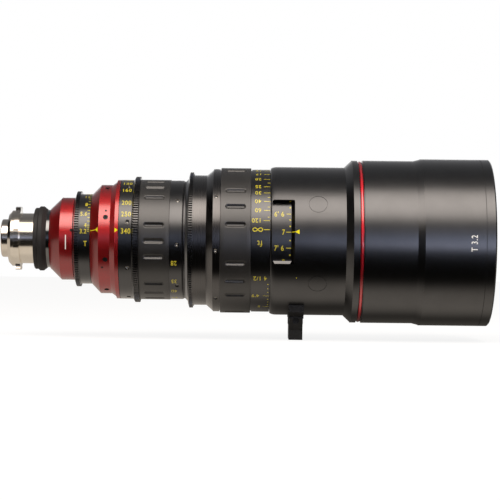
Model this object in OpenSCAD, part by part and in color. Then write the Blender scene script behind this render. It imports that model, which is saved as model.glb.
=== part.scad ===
// Cinema zoom lens: a long stepped barrel with iris, zoom and focus rings, and a support foot.
// X runs along the optical axis towards the front glass and Z is up. The origin is the
// centre of the plane in which the mount seats on a camera. All sizes are in millimetres.
// Angles about the axis are counted from +Y towards +Z, so 180 degrees is the -Y side.

/* [Lens mount] */
// Radius of the spigot that enters the camera
spigot_r = 27; // [26.5:0.1:27.5]
// Length of the spigot behind the seat
spigot_l = 6.3; // [5:0.1:8]
// Chamfer on the spigot's rear edge
spigot_chamfer = 3; // [1:0.5:4]
// Height of the seat over the spigot
seat_h = 0.8; // [0.5:0.1:1.5]
// Height of the locking lugs over the spigot
lug_h = 3.7; // [3:0.1:5]
// Thickness of the locking lugs
lug_t = 4.9; // [4:0.1:6]
// Width of one lug round the axis, in degrees
lug_deg = 34; // [20:1:45]
// Number of locking lugs
lug_count = 4; // [2:1:6]
// Wall of the steel neck ahead of the lugs
neck_wall = 2.34; // [2:0.02:3]
// Length of the steel neck
neck_l = 13.7; // [9:0.1:18]
// Radius of the steel tube that reaches behind the seat
rear_tube_r = 18.4; // [18:0.1:18.9]
// Length of that tube behind the seat
rear_tube_l = 13.7; // [12:0.1:18]

/* [Rear end] */
// Thickness of the rubber ring ahead of the mount
bumper_h = 6.9; // [6:0.1:8]
// Thickness of the lower band behind it
bumper_band_h = 5.4; // [4.5:0.1:5.9]
// Length of the rubber ring
bumper_l = 12.5; // [11:0.5:18]
// Height of the glossy collar over the neck
collar_h = 3.65; // [3:0.05:4.5]
// Length of the glossy collar
collar_l = 3; // [2:0.5:5]
// Step from the collar to the start of the rear housing's cone
rear_cone_step = 1.25; // [1:0.05:2]
// Wall of the rear housing over the iris barrel
rear_housing_wall = 4; // [3.5:0.1:6]
// Length of the rear housing's cone
rear_cone_l = 11; // [9:0.5:14]
// Length of the rear housing's cylinder
rear_cyl_l = 12.2; // [11:0.5:16]

/* [Iris] */
// Height of the iris gear from its bore to its tips
iris_gear_h = 10.3; // [10:0.1:13]
// Length of the iris gear with its slanted side
iris_gear_l = 5.9; // [5:0.1:8]
// Wall of the iris scale ring
iris_scale_wall = 7.6; // [7:0.1:9]
// Length of the iris scale ring
iris_scale_l = 10.7; // [9:0.1:14]
// Space between the blades' pivots and the barrel round them
iris_space = 7.5; // [6.5:0.1:9]
// Turn of the iris ring from wide open to closed, in degrees
iris_turn = 88; // [80:1:90]
// Radius of the open aperture
iris_open_r = 12.5; // [12:0.1:13]
// Turn of one blade from open to closed, in degrees
blade_turn = 25.8; // [24:0.1:27]

/* [Relay housing] */
// Step from the iris scale to the start of the relay housing's cone
relay_cone_step = 0.25; // [0:0.05:1]
// Wall of the relay housing over the main barrel
relay_housing_wall = 2.9; // [2.5:0.1:4]
// Length of its cone
relay_cone_l = 8.6; // [7:0.1:11]
// Length of its cylinder
relay_cyl_l = 10.8; // [10:0.1:14]
// Height of its flare
relay_flare_h = 3.45; // [2:0.05:5]
// Length of its flare
relay_flare_l = 4.9; // [4:0.1:7]
// Height of its rim over the flare
relay_rim_h = 1.5; // [1:0.1:3]
// Length of its rim
relay_rim_l = 3.5; // [1:0.1:5]

/* [Zoom ring] */
// Wall of the focal length scale
zoom_scale_wall = 3.92; // [3:0.02:5]
// Length of the focal length scale
zoom_scale_l = 12.1; // [12:0.1:18]
// Height of the zoom gear from its bore to its tips
zoom_gear_h = 7.17; // [6:0.01:9]
// Length of the zoom gear
zoom_gear_l = 6.3; // [5:0.1:8]
// Thickness of the rubber zoom grip
zoom_grip_wall = 4.27; // [3:0.01:6]
// Length of the rubber zoom grip
zoom_grip_l = 29.7; // [26:0.1:40]
// Wall of the ring ahead of the zoom grip
zoom_front_wall = 3.82; // [3:0.02:5]
// Length of the ring ahead of the zoom grip
zoom_front_l = 13; // [12.5:0.1:20]
// Turn of the zoom ring from the long end to the wide end, in degrees
zoom_turn = 158; // [140:1:160]
// Travel of the variator over that turn
variator_travel = 48; // [40:1:50]
// Travel of the compensator over that turn, towards the rear
compensator_travel = 18; // [14:1:20]

/* [Focus ring] */
// Height of the focus gear from its bore to its tips
focus_gear_h = 5.92; // [5:0.01:8]
// Length of the focus gear
focus_gear_l = 4.4; // [4:0.1:8]
// Wall of the brushed sleeve
focus_sleeve_wall = 3.17; // [2.5:0.01:3.8]
// Length of the brushed sleeve
focus_sleeve_l = 13.2; // [10:0.1:20]
// Length of the cone up to the screwed collar
focus_cone_l = 6.4; // [5:0.1:9]
// Wall of the screwed collar
focus_collar_wall = 3.32; // [3:0.01:5]
// Length of the screwed collar
focus_collar_l = 6.2; // [6:0.1:9]
// Thickness of the rubber focus grip
focus_grip_wall = 4.42; // [3.5:0.01:6]
// Length of the rubber focus grip
focus_grip_l = 30; // [26:0.1:40]
// Wall of the distance scale
distance_wall = 3.17; // [2.5:0.01:4]
// Length of the distance scale
distance_l = 18.2; // [15:0.1:24]
// Turn from the rest distance to infinity, in degrees
focus_back_turn = 168; // [140:1:168]
// Turn from the rest distance to the nearest one, in degrees
focus_near_turn = 152; // [130:1:152]
// Travel of the focusing group for one full turn
focus_lead = 33.75; // [30:0.25:36]

/* [Cover] */
// Space between the scale in the window and the cover
cover_space = 1.6; // [1.2:0.1:2.5]
// Depth of the round at the cover's rear edge
cover_round_h = 2.3; // [1.5:0.1:3]
// Length of the cover's rounded rear end
cover_round_l = 6.8; // [5:0.1:9]
// Length of the cover
cover_l = 71.7; // [70:0.1:80]
// Wall of the cover
cover_wall = 4; // [3.5:0.1:4.5]
// Length of the window in the cover
window_l = 21.5; // [18:0.1:24]
// Height of the window, measured straight across
window_h = 61.2; // [50:0.1:64]
// Angle of the window's middle above the level of the axis, in degrees
window_deg = 7.4; // [0:0.1:12]
// Radius of the window's corners
window_round = 2.5; // [1:0.1:4]
// Radius of the two plugs in the cover
plug_r = 8.8; // [6:0.1:10]

/* [Front] */
// Length of the flared adapter ahead of the cover
adapter_cone_l = 6.7; // [6.4:0.1:12]
// Flare of the adapter over the cover
adapter_flare = 6.9; // [6:0.1:9]
// Length of the adapter's front band
adapter_band_l = 5.3; // [4:0.1:8]
// Depth of the coloured stripe below the front barrel
stripe_drop = 0.7; // [0.2:0.05:1.2]
// Width of the groove that holds the coloured stripe
stripe_l = 5.3; // [4:0.1:7]
// Step from the adapter to the front barrel
front_barrel_rise = 0.15; // [0:0.05:0.5]
// Length of the front barrel up to its step
front_barrel_l = 49.6; // [48:0.1:60]
// Length of the step cone
step_l = 6.6; // [5:0.1:9]
// Height of the step to the front section
front_rise = 1.95; // [1.5:0.05:4]
// Length of the front section
front_l = 57.5; // [56:0.1:72]
// Length of the ring at the very front
front_ring_l = 9.6; // [6:0.1:11]
// Width of the front ring's face
front_rim_w = 7.5; // [6.5:0.1:9]
// Depth of the front glass behind the rim
front_recess = 16; // [14:0.5:20]

/* [Support foot] */
// Width of the foot along the axis
foot_w = 14.6; // [13:0.1:20]
// Distance of the foot's middle ahead of the cover's rear edge
foot_offset = 25.6; // [24:0.1:34]
// Height of the foot's block
block_h = 20.9; // [17:0.1:30]
// Half the width of the saddle across the lens
saddle_half = 38.6; // [34:0.1:44]
// Half the width of the block across the lens
block_half = 23; // [20:0.1:26]
// Radius of the tapped hole in the foot
foot_hole_r = 4; // [3:0.1:4.8]
// Depth of the tapped hole
foot_hole_l = 12; // [8:0.5:13]

/* [Inside] */
// Bore of the tube that guides the zoom carriages
guide_bore_r = 33.3; // [33:0.1:34]
// Wall of that tube
guide_wall = 3; // [2.5:0.1:3.2]
// Wall of the cam drum
drum_wall = 4.6; // [4:0.1:5]
// Space between the cam drum and the main barrel
drum_space = 5; // [4.5:0.1:5.4]
// Wall of the main barrel under the zoom ring
barrel_wall = 4; // [3.5:0.1:4.2]
// Wall of the main barrel under the focus ring
focus_barrel_wall = 5; // [4.5:0.1:5.2]
// Radius of the pins that follow the cams
follower_r = 2.5; // [2:0.1:3]
// Radius of the pins that follow the focus thread
focus_pin_r = 2; // [1.5:0.1:2.4]

/* [Fits] */
// Radial clearance of turning and sliding fits
run_gap = 0.05; // [0.02:0.01:0.08]
// Radial clearance between fixed pieces
seat_gap = 0.03; // [0.01:0.01:0.05]
// Clearance between the end faces of pieces that turn past each other
face_gap = 0.4; // [0.3:0.05:0.6]
// Extra width of a helical slot for its pin
cam_gap = 0.15; // [0.1:0.05:0.3]

/* [Hidden] */
$fn = 120;
// How far a cut runs past the face it opens
cut = 1;
// Half a turn, the angle of the -Y side
near_deg = 180;

// Stations along the axis, from the seat forwards
neck_x = lug_t;
bumper_x = neck_x + neck_l;
collar_x = bumper_x + bumper_l;
rear_housing_x = collar_x + collar_l;
rear_cyl_x = rear_housing_x + rear_cone_l;
rear_housing_end = rear_cyl_x + rear_cyl_l;
iris_x = rear_housing_end + face_gap;
iris_scale_x = iris_x + iris_gear_l;
iris_end = iris_scale_x + iris_scale_l;
relay_x = iris_end + face_gap;
relay_cyl_x = relay_x + relay_cone_l;
relay_flare_x = relay_cyl_x + relay_cyl_l;
relay_rim_x = relay_flare_x + relay_flare_l;
relay_end = relay_rim_x + relay_rim_l;
zoom_x = relay_end + face_gap;
zoom_gear_x = zoom_x + zoom_scale_l;
zoom_grip_x = zoom_gear_x + zoom_gear_l;
zoom_front_x = zoom_grip_x + zoom_grip_l;
zoom_end = zoom_front_x + zoom_front_l;
divider_x = zoom_end + face_gap;
divider_l = 0.9;
focus_x = divider_x + divider_l + face_gap;
focus_lead_in_l = 2.6;
focus_gear_x = focus_x + focus_lead_in_l;
focus_sleeve_x = focus_gear_x + focus_gear_l;
focus_cone_x = focus_sleeve_x + focus_sleeve_l;
focus_collar_x = focus_cone_x + focus_cone_l;
focus_grip_x = focus_collar_x + focus_collar_l;
distance_x = focus_grip_x + focus_grip_l;
distance_end = distance_x + distance_l;
cover_x = distance_end + face_gap;
cover_end = cover_x + cover_l;
adapter_band_x = cover_end + adapter_cone_l;
stripe_x = adapter_band_x + adapter_band_l;
front_barrel_x = stripe_x + stripe_l;
step_x = front_barrel_x + front_barrel_l;
front_x = step_x + step_l;
front_ring_x = front_x + front_l;
front_end = front_ring_x + front_ring_l;

// Radii of the mount, from the inside outwards
collar_tube_wall = 3.6;
collar_tube_r = rear_tube_r + seat_gap + collar_tube_wall;
neck_r = collar_tube_r + seat_gap + neck_wall;
seat_r = spigot_r + seat_h;
lug_r = spigot_r + lug_h;
bumper_r = neck_r + bumper_h;
bumper_band_r = neck_r + bumper_band_h;
collar_r = neck_r + collar_h;
rear_cone_r = collar_r + rear_cone_step;

// Radii of the iris, from the inside outwards
blade_w = 8.5;
pivot_out = 2.5;
blade_mid_r = iris_open_r + blade_w / 2;
pivot_r = iris_open_r + blade_w + pivot_out;
iris_chamber_r = pivot_r + iris_space;
iris_barrel_wall = 5;
iris_bearing_r = iris_chamber_r + iris_barrel_wall;
iris_bore_r = iris_bearing_r + run_gap;
iris_scale_r = iris_bore_r + iris_scale_wall;
iris_gear_tip_r = iris_bore_r + iris_gear_h;
rear_housing_r = iris_bearing_r + rear_housing_wall;

// Radii of the nested barrels, from the inside outwards
guide_r = guide_bore_r + guide_wall;
drum_bore_r = guide_r + run_gap;
drum_r = drum_bore_r + drum_wall;
barrel_bore_r = drum_r + drum_space;
zoom_bearing_r = barrel_bore_r + barrel_wall;
zoom_bore_r = zoom_bearing_r + run_gap;
zoom_sleeve_wall = 3.95;
zoom_sleeve_r = zoom_bore_r + zoom_sleeve_wall;
zoom_seat_r = zoom_sleeve_r + seat_gap;
zoom_scale_r = zoom_seat_r + zoom_scale_wall;
zoom_gear_tip_r = zoom_seat_r + zoom_gear_h;
zoom_grip_r = zoom_seat_r + zoom_grip_wall;
zoom_front_r = zoom_seat_r + zoom_front_wall;
relay_cone_r = iris_scale_r + relay_cone_step;
relay_housing_r = zoom_bearing_r + relay_housing_wall;
relay_flare_r = relay_housing_r + relay_flare_h;
relay_rim_r = relay_flare_r + relay_rim_h;
focus_bearing_r = zoom_bearing_r + focus_barrel_wall;
focus_bore_r = focus_bearing_r + run_gap;
focus_drum_wall = 5;
focus_drum_r = focus_bore_r + focus_drum_wall;
focus_seat_r = focus_drum_r + seat_gap;
focus_gear_tip_r = focus_seat_r + focus_gear_h;
focus_sleeve_r = focus_seat_r + focus_sleeve_wall;
grip_drum_step = 6;
grip_drum_r = focus_drum_r + grip_drum_step;
grip_seat_r = grip_drum_r + seat_gap;
focus_collar_r = grip_seat_r + focus_collar_wall;
focus_grip_r = grip_seat_r + focus_grip_wall;
distance_r = grip_seat_r + distance_wall;
cam_sleeve_wall = 7;
cam_sleeve_r = focus_bore_r + cam_sleeve_wall;
window_scale_wall = 4.4;
window_scale_r = cam_sleeve_r + window_scale_wall;
cover_bore_r = window_scale_r + cover_space;
cover_r = cover_bore_r + cover_wall;
cover_edge_r = cover_r - cover_round_h;
adapter_r = cover_r + adapter_flare;
front_barrel_r = adapter_r + front_barrel_rise;
stripe_r = front_barrel_r - stripe_drop;
front_r = front_barrel_r + front_rise;
front_open_r = front_r - front_rim_w;

// Shares of the edge radius for the rear and the front surface of each lens element
rear_shares = [[-5, 4], [-4, 6]];
relay_shares = [5, 3];
variator_shares = [[6, -8], [8, 5]];
compensator_shares = [5, 4];
focus_shares = [[6, 5], [5, 3]];
front_shares = [[6, 5], [5, 5]];

// Mount, rear tube and rear end
lug_notch_w = 3;
lug_notch_h = 2;
lug_root = 2;
rear_tube_wall = 2.6;
rear_cell_step = 1.6;
rear_cell_r = rear_tube_r + rear_cell_step;
rear_tube_bore_r = rear_tube_r - rear_tube_wall;
rear_tube_round = 1.4;
rear_lip = 1.2;
rear_glass_sink = 3.5;
rear_glass_x = rear_glass_sink - rear_tube_l;
rear_glass_t = 6;
relay_rear_glass_t = 7;
collar_tube_x = neck_x + face_gap;
bumper_bore_r = neck_r + seat_gap;
bumper_taper_r = collar_r + seat_gap;
housing_wall = 3.5;
web_t = 4;
rear_seat_l = 6;

// Iris
barrel_shoulder = 1;
iris_barrel_x = rear_cyl_x + barrel_shoulder;
iris_seat_l = 9.5;
iris_barrel_end = relay_x + iris_seat_l;
gear_slant_l = 2.5;
gear_module = 0.8;
tooth_depth_share = 2.25;
tooth_depth = tooth_depth_share * gear_module;
// Share of the pitch and share of the depth for the four corners of one tooth
tooth_shares = [[0.12, 0], [0.36, 1], [0.64, 1], [0.88, 0]];
blade_count = 9;
blade_t = 0.2;
blade_pitch = 0.4;
blade_span_deg = 108;
lever_l = 9.5;
pivot_pin_r = 0.8;
drive_pin_r = 0.5;
ear_r = 1.6;
base_t = 2;
iris_key_gap = 1;
iris_key_reach = 3;
iris_base_x = iris_x;
blades_x = iris_base_x + base_t + blade_pitch;
actuator_x = blades_x + blade_count * blade_pitch;
actuator_t = 2;
actuator_rim_l = 7.6;
actuator_rim_t = 1.2;
actuator_r = iris_chamber_r - run_gap;
drive_slot_gap = 0.08;
actuator_slot_w = 2 * (drive_pin_r + drive_slot_gap);
iris_key_r = 1.8;
iris_key_slot_gap = 0.15;
iris_key_x = actuator_x + actuator_t + iris_key_r + iris_key_gap;
iris_key_deg = 90;
iris_retainer_x = actuator_x + actuator_rim_l + face_gap;
iris_retainer_t = 2;

// Relay housing and relay cell
relay_seat_x = iris_barrel_end + web_t;
main_barrel_x = relay_seat_x;
relay_cell_l = 18;
relay_cell_wall = 5;
relay_cell_r = guide_bore_r - seat_gap;
relay_bore_r = relay_cell_r - relay_cell_wall;
relay_glass_t = 6;
large_screw_r = 2.4;
small_screw_r = 1.3;
screw_grip = 2;
screw_sink = 0.6;
socket_share = 0.5;
socket_depth = 0.8;
ring_screw_r = 2.05;
screw_count = 8;
small_screw_count = 3;

// Main barrel and guide tube
barrel_end_x = stripe_x;
cover_seat_l = 8;
adapter_seat_l = 6;
adapter_seat_x = cover_end + adapter_seat_l;
flange_x = cover_end - cover_seat_l;
barrel_step_l = 4;
barrel_step_x = divider_x + barrel_step_l;
flange_r = adapter_r - housing_wall - seat_gap;
divider_sink = 0.8;
divider_r = zoom_front_r - divider_sink;
guide_x = main_barrel_x;
guide_flange_l = 6;
guide_reach = 73;
guide_end = divider_x + guide_reach;
follower_clear = follower_r + run_gap;
follower_count = 3;
follower_deg = 30;
follower_root = 2.3;

// Zoom drum, carriages and key
drum_x = guide_x + web_t + face_gap;
drum_end = guide_end - guide_flange_l - face_gap;
zoom_key_r = 3;
zoom_key_slot_gap = 0.1;
zoom_key_x = zoom_front_x + zoom_key_r;
zoom_key_deg = 20;
zoom_key_root = 2;
turn_slack = 1;
carriage_r = guide_bore_r - run_gap;
carriage_wall = 4.5;
variator_l = 18;
variator_x = drum_end - variator_travel - variator_l / 2;
compensator_l = 14;
compensator_x = relay_seat_x + relay_cell_l + compensator_travel + compensator_l;
elements_gap = 1;
variator_rear_t = 7;
variator_front_t = 5;
compensator_glass_t = 8;

// Focus drum and focusing group
lead_in_sink = 0.5;
focus_lead_in_r = zoom_front_r - lead_in_sink;
gear_land_r = focus_gear_tip_r - tooth_depth + run_gap;
gear_land_l = 0.9;
collar_lip_l = 0.8;
collar_lip_sink = 0.9;
collar_lip_r = focus_collar_r - collar_lip_sink;
focus_turn = focus_back_turn + focus_near_turn;
focus_back_travel = focus_lead * focus_back_turn / 360;
focus_near_travel = focus_lead * focus_near_turn / 360;
cam_sleeve_end = flange_x - face_gap;
focus_pin_edge = 6;
focus_pin_x = cam_sleeve_end - focus_near_travel - focus_pin_edge;
focus_pin_clear = focus_pin_r + run_gap;
focus_pin_deg = 90;
window_scale_x = distance_end + face_gap;
window_scale_l = 28;
tail_r = focus_bearing_r - focus_barrel_wall - run_gap;
tail_wall = 5;
tail_reach = 12;
tail_x = focus_pin_x - tail_reach;
bell_gap = 1.8;
bell_x = barrel_end_x + focus_back_travel + bell_gap;
barrel_liner = 2;
stripe_sink = 2.5;
stripe_gap = 0.9;
stripe_crown = 1;
stripe_steps = 10;
stripe_seat_r = front_barrel_r - stripe_sink;
stripe_half = stripe_l / 2 - stripe_gap;
stripe_mid_x = stripe_x + stripe_l / 2;
barrel_rear_bore_r = stripe_seat_r - barrel_liner;
bell_side_gap = 1.1;
bell_r = barrel_rear_bore_r - bell_side_gap;
bell_cone_l = 18;
bell_l = 34;
bell_wall = 3.4;
bell_seat_l = 4;
focus_glass_t = 11;

// Cover, plugs and front
cover_lip = 1.4;
rounding_steps = 8;
plug_offset = 44.9;
plug_edge_w = 0.35;
plug_edge_h = 1.2;
plug_x = cover_x + plug_offset;
window_inset = 1.5;
window_bevel = 3.2;
window_over = 0.5;
bevel_over = cut * window_bevel / cover_wall;
window_end = cover_x + window_inset + window_l;
// Angles of the plugs above and below the level of the axis
plug_degs = [29, -34.4];
adapter_root_step = 0.2;
adapter_root_r = cover_r + adapter_root_step;
barrel_front_wall = 3;
barrel_front_bore_r = front_barrel_r - barrel_front_wall;
hood_seat_l = 9;
hood_seat_wall = 1.5;
hood_seat_r = barrel_front_bore_r + hood_seat_wall;
hood_bore_r = hood_seat_r + seat_gap;
front_glass_end = front_end - front_recess;
front_glass_t = 6;
inner_glass_t = 9;
inner_gap = 1.6;
front_cell_wall = 4;
front_cell_r = hood_bore_r - seat_gap;
front_glass_r = front_cell_r - front_cell_wall - seat_gap;
front_edge_x = front_glass_end - sag(front_shares[1][1] * front_glass_r, front_glass_r);
front_cell_x = front_edge_x - front_glass_t - inner_gap - inner_glass_t - web_t;
front_cell_end = front_ring_x - face_gap;
ring_round = 1.2;

// Foot
foot_x = cover_x + foot_offset - foot_w / 2;
saddle_corner = 0.42;
saddle_top = sqrt(pow(cover_r, 2) - pow(saddle_half, 2)) + saddle_corner;
saddle_slope_w = 8;
saddle_slope_h = 4.2;
saddle_land_h = 1.9;
saddle_t = 2.6;
saddle_bottom = cover_r + saddle_t;
saddle_slope_z = saddle_land_h - saddle_bottom;
foot_drop = saddle_bottom + block_h;
tongue_half = 8;
tongue_l = 6;
block_slope_h = 11.5;
block_slope_w = 5;
block_top_half = block_half + block_slope_w;
block_edge = 0.7;
foot_screw_head_r = 3.1;
foot_screw_r = 2;
foot_screw_drop = 2.6;
foot_screw_seat = 0.5;
foot_screw_floor = block_half + foot_screw_seat;
foot_screw_head_h = 2.4;
foot_screw_end = tongue_half / 2;

// Shapes shared by several pieces
lug_steps = 6;
round_steps = 6;
rear_cell_gap = 9;
rear_cell_x = neck_x + rear_cell_gap;
bumper_edge = 0.8;
band_share = 0.33;
crest_share = 0.68;
small_screw_inset = 0.9;
small_screw_deg = 11.5;
large_screw_share = 0.62;
large_screw_deg = 23;
base_rim = 0.5;
actuator_bore_r = iris_open_r + blade_w;
pin_sink = 0.3;
glass_steps = 10;
path_steps = 22;
path_delta = 0.001;
slot_side_deg = 12;
slot_layer_deg = 10;
blade_steps = 12;
zoom_rear_screw_share = 0.68;
zoom_front_screw_share = 0.57;
zoom_rear_screw_x = zoom_x + zoom_rear_screw_share * zoom_scale_l;
zoom_front_screw_x = zoom_front_x + zoom_front_screw_share * zoom_front_l;
zoom_rear_screw_deg = 16.5;
zoom_front_screw_deg = -5;
focus_screw_x = focus_collar_x + focus_collar_l / 2;
focus_screw_deg = -8.5;
grip_fields = 6;
grip_slots = 3;
grip_slot_half = 2.5;
grip_slot_l = 20.5;
grip_slot_depth = 0.9;
zoom_bare_deg = 28.5;
focus_bare_deg = -3;
ring_chamfer = 0.6;
carriage_lip = 1.5;
focus_slant_r = focus_gear_tip_r - 2 * tooth_depth;
focus_slant_l = 1.4;
window_sink = 15;

// Colours
anodised_red = [0.62, 0.08, 0.12];
anodised_black = [0.12, 0.12, 0.12];
satin_black = [0.2, 0.2, 0.2];
rubber_grey = [0.27, 0.27, 0.27];
steel = [0.78, 0.77, 0.74];
aluminium = [0.66, 0.67, 0.69];
glass = [0.55, 0.68, 0.8];
brass = [0.75, 0.6, 0.3];
foot_black = [0.16, 0.16, 0.17];

// Turns an outline of [radius, place along the axis] points about the optical axis
module turned(outline) rotate([0, 90, 0]) rotate_extrude() polygon(outline);

// A plain ring between two radii and two places along the axis
module ring(r_in, r_out, x_from, x_to)
    turned([[r_in, x_from], [r_out, x_from], [r_out, x_to], [r_in, x_to]]);

// Places its children on a radius at an angle, with their Z pointing outwards and X kept
module on_radius(deg, x) translate([x, 0, 0]) rotate([deg - 90, 0, 0]) children();

// A round pin or bore along a radius
module radial_rod(deg, x, r, from_r, to_r)
    on_radius(deg, x) translate([0, 0, from_r]) cylinder(r = r, h = to_r - from_r);

// A slot that runs along the axis, with round ends
module long_slot(deg, x_from, x_to, half_w, from_r, to_r)
    on_radius(deg, 0) translate([0, 0, from_r]) linear_extrude(to_r - from_r) {
        translate([x_from, -half_w]) square([x_to - x_from, 2 * half_w]);
        translate([x_from, 0]) circle(half_w);
        translate([x_to, 0]) circle(half_w);
    }

// A slot that runs round the axis at one place, with round ends
module arc_slot(x, deg_from, deg_to, half_w, from_r, to_r) {
    rotate([0, 90, 0]) rotate_extrude(angle = deg_to - deg_from, start = deg_from + 90)
        translate([from_r, x - half_w]) square([to_r - from_r, 2 * half_w]);
    for (deg = [deg_from, deg_to]) radial_rod(deg, x, half_w, from_r, to_r);
}

// Points on an arc about the axis
function arc_points(r, from_deg, to_deg, steps) =
    [for (i = [0:steps]) let (a = from_deg + (to_deg - from_deg) * i / steps) [r * cos(a), r * sin(a)]];

// A flat sector between two radii
module sector(from_r, to_r, from_deg, to_deg, steps)
    polygon(concat(arc_points(from_r, from_deg, to_deg, steps), arc_points(to_r, to_deg, from_deg, steps)));

// A helical slot for a pin that lies at deg when it is at x_from, and at deg + turn at x_to
module helical_slot(deg, x_from, x_to, turn, half_w, from_r, to_r) {
    rate = turn / (x_to - x_from);
    lead_rad = 180 / PI / abs(rate);
    half_deg = half_w * sqrt(pow(from_r, 2) + pow(lead_rad, 2)) / (lead_rad * from_r) * 180 / PI;
    length = x_to - x_from + 2 * half_w;
    steps = ceil(2 * half_deg / slot_side_deg);
    translate([x_from - half_w, 0, 0]) rotate([0, 90, 0]) rotate([0, 0, deg - rate * half_w + 90])
        linear_extrude(height = length, twist = -rate * length, segments = 1,
            slices = ceil(abs(rate) * length / slot_layer_deg), $fn = 0, $fa = 360, $fs = to_r)
            sector(from_r, to_r, -half_deg, half_deg, steps);
}

// Corners of a toothed wheel, tooth by tooth
function gear_points(tip_r, count) = [for (i = [0:count - 1], s = tooth_shares)
    let (a = (i + s[0]) * 360 / count, r = tip_r - tooth_depth * (1 - s[1])) [r * cos(a), r * sin(a)]];

// A gear ring with its rear side slanted down to a root radius
module gear_ring(tip_r, bore_r, slant_r, x_from, x_to, slant_l) {
    count = round(2 * tip_r / gear_module) - 2;
    intersection() {
        translate([x_from, 0, 0]) rotate([0, 90, 0]) linear_extrude(x_to - x_from) difference() {
            polygon(gear_points(tip_r, count));
            circle(bore_r);
        }
        turned([[bore_r - cut, x_from - cut], [slant_r, x_from - cut], [slant_r, x_from],
            [tip_r + cut * slant_l / gear_slant_l, x_from + slant_l],
            [tip_r + cut, x_to + cut], [bore_r - cut, x_to + cut]]);
    }
}

// A screw along a radius, sunk a little below the surface, with a hexagon socket
module socket_screw(deg, x, r, root_r, top_r) {
    head = top_r - screw_sink;
    on_radius(deg, x) difference() {
        translate([0, 0, root_r]) cylinder(r = r, h = head - root_r);
        translate([0, 0, head - socket_depth])
            cylinder(r = r * socket_share, h = socket_depth + cut, $fn = 6);
    }
}

// The bore that such a screw fits
module screw_bore(deg, x, r, root_r, top_r) radial_rod(deg, x, r + seat_gap, root_r, top_r + cut);

// Rise of a spherical surface from its middle out to a radius
function sag(surface_r, r) = surface_r - sqrt(pow(surface_r, 2) - pow(r, 2));

// Points of a lens surface from its middle to its edge, which lies at x; its radius is a share of the
// edge's, and a share above zero swells it towards the front and one below zero towards the rear
function surface_points(edge_r, share, x) = [for (i = [0:glass_steps])
    let (surface_r = abs(share) * edge_r, r = edge_r * i / glass_steps)
        [r, x + sign(share) * (sag(surface_r, edge_r) - sag(surface_r, r))]];

// The same points from the edge to the middle
function surface_back(edge_r, share, x) =
    let (points = surface_points(edge_r, share, x)) [for (i = [glass_steps:-1:0]) points[i]];

// A lens element between the places of its two edges, with the shares of its rear and front surfaces
module element(edge_r, x_rear, x_front, shares)
    turned(concat(surface_points(edge_r, shares[0], x_rear), surface_back(edge_r, shares[1], x_front)));

// Steel mount: spigot, seat with its lugs, and neck
module pl_mount() color(steel) difference() {
    union() {
        turned([[rear_tube_r + seat_gap, -spigot_l], [spigot_r - spigot_chamfer, -spigot_l],
            [spigot_r, spigot_chamfer - spigot_l], [spigot_r, 0], [seat_r, 0], [seat_r, lug_t],
            [neck_r, lug_t],
            [neck_r, bumper_x], [collar_tube_r + seat_gap, bumper_x],
            [collar_tube_r + seat_gap, neck_x], [rear_tube_r + seat_gap, neck_x]]);
        for (i = [0:lug_count - 1]) rotate([i * 360 / lug_count, 0, 0]) rotate([0, 90, 0])
            linear_extrude(lug_t)
                sector(rear_tube_r + lug_root, lug_r, 180 - lug_deg / 2, 180 + lug_deg / 2, lug_steps);
    }
    translate([-cut, -lug_notch_w / 2, lug_r - lug_notch_h])
        cube([lug_t + 2 * cut, lug_notch_w, lug_notch_h + cut]);
}

// Steel tube that carries the rear glass and reaches forward to the iris
module rear_tube() color(steel) turned(concat(
    [[rear_tube_bore_r - rear_lip, -rear_tube_l]],
    [for (i = [0:round_steps]) let (a = 90 * i / round_steps)
        [rear_tube_r - rear_tube_round * (1 - sin(a)), rear_tube_round * (1 - cos(a)) - rear_tube_l]],
    [[rear_tube_r, rear_cell_x], [rear_cell_r, rear_cell_x], [rear_cell_r, iris_barrel_x + web_t],
    [rear_tube_bore_r, iris_barrel_x + web_t], [rear_tube_bore_r, rear_glass_x],
    [rear_tube_bore_r - rear_lip, rear_glass_x]]));

// Rear glass and the relay glass behind the iris
module rear_glass() color(glass) {
    glass_r = rear_tube_bore_r - seat_gap;
    element(glass_r, rear_glass_x + rear_lip, rear_glass_x + rear_lip + rear_glass_t, rear_shares[0]);
    element(glass_r, iris_barrel_x - relay_rear_glass_t, iris_barrel_x, rear_shares[1]);
}

// Rubber ring ahead of the mount, with a lower band and a taper
module rubber_bumper() color(rubber_grey) turned([
    [bumper_bore_r, bumper_x], [bumper_band_r - bumper_edge, bumper_x],
    [bumper_band_r, bumper_x + bumper_edge], [bumper_band_r, bumper_x + band_share * bumper_l],
    [bumper_r - bumper_edge, bumper_x + band_share * bumper_l],
    [bumper_r, bumper_x + band_share * bumper_l + bumper_edge],
    [bumper_r, bumper_x + crest_share * bumper_l], [bumper_taper_r, collar_x], [bumper_bore_r, collar_x]]);

// Glossy collar with the tubes that carry the mount, the rubber ring and the rear housing
module rear_collar() color(anodised_black) turned([
    [rear_tube_r + seat_gap, collar_tube_x], [collar_tube_r, collar_tube_x], [collar_tube_r, bumper_x],
    [neck_r, bumper_x], [neck_r, collar_x], [collar_r, collar_x], [collar_r, rear_housing_x],
    [neck_r, rear_housing_x], [neck_r, rear_housing_x + rear_seat_l],
    [rear_cell_r + seat_gap, rear_housing_x + rear_seat_l], [rear_cell_r + seat_gap, rear_cell_x - face_gap],
    [rear_tube_r + seat_gap, rear_cell_x - face_gap]]);

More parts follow.
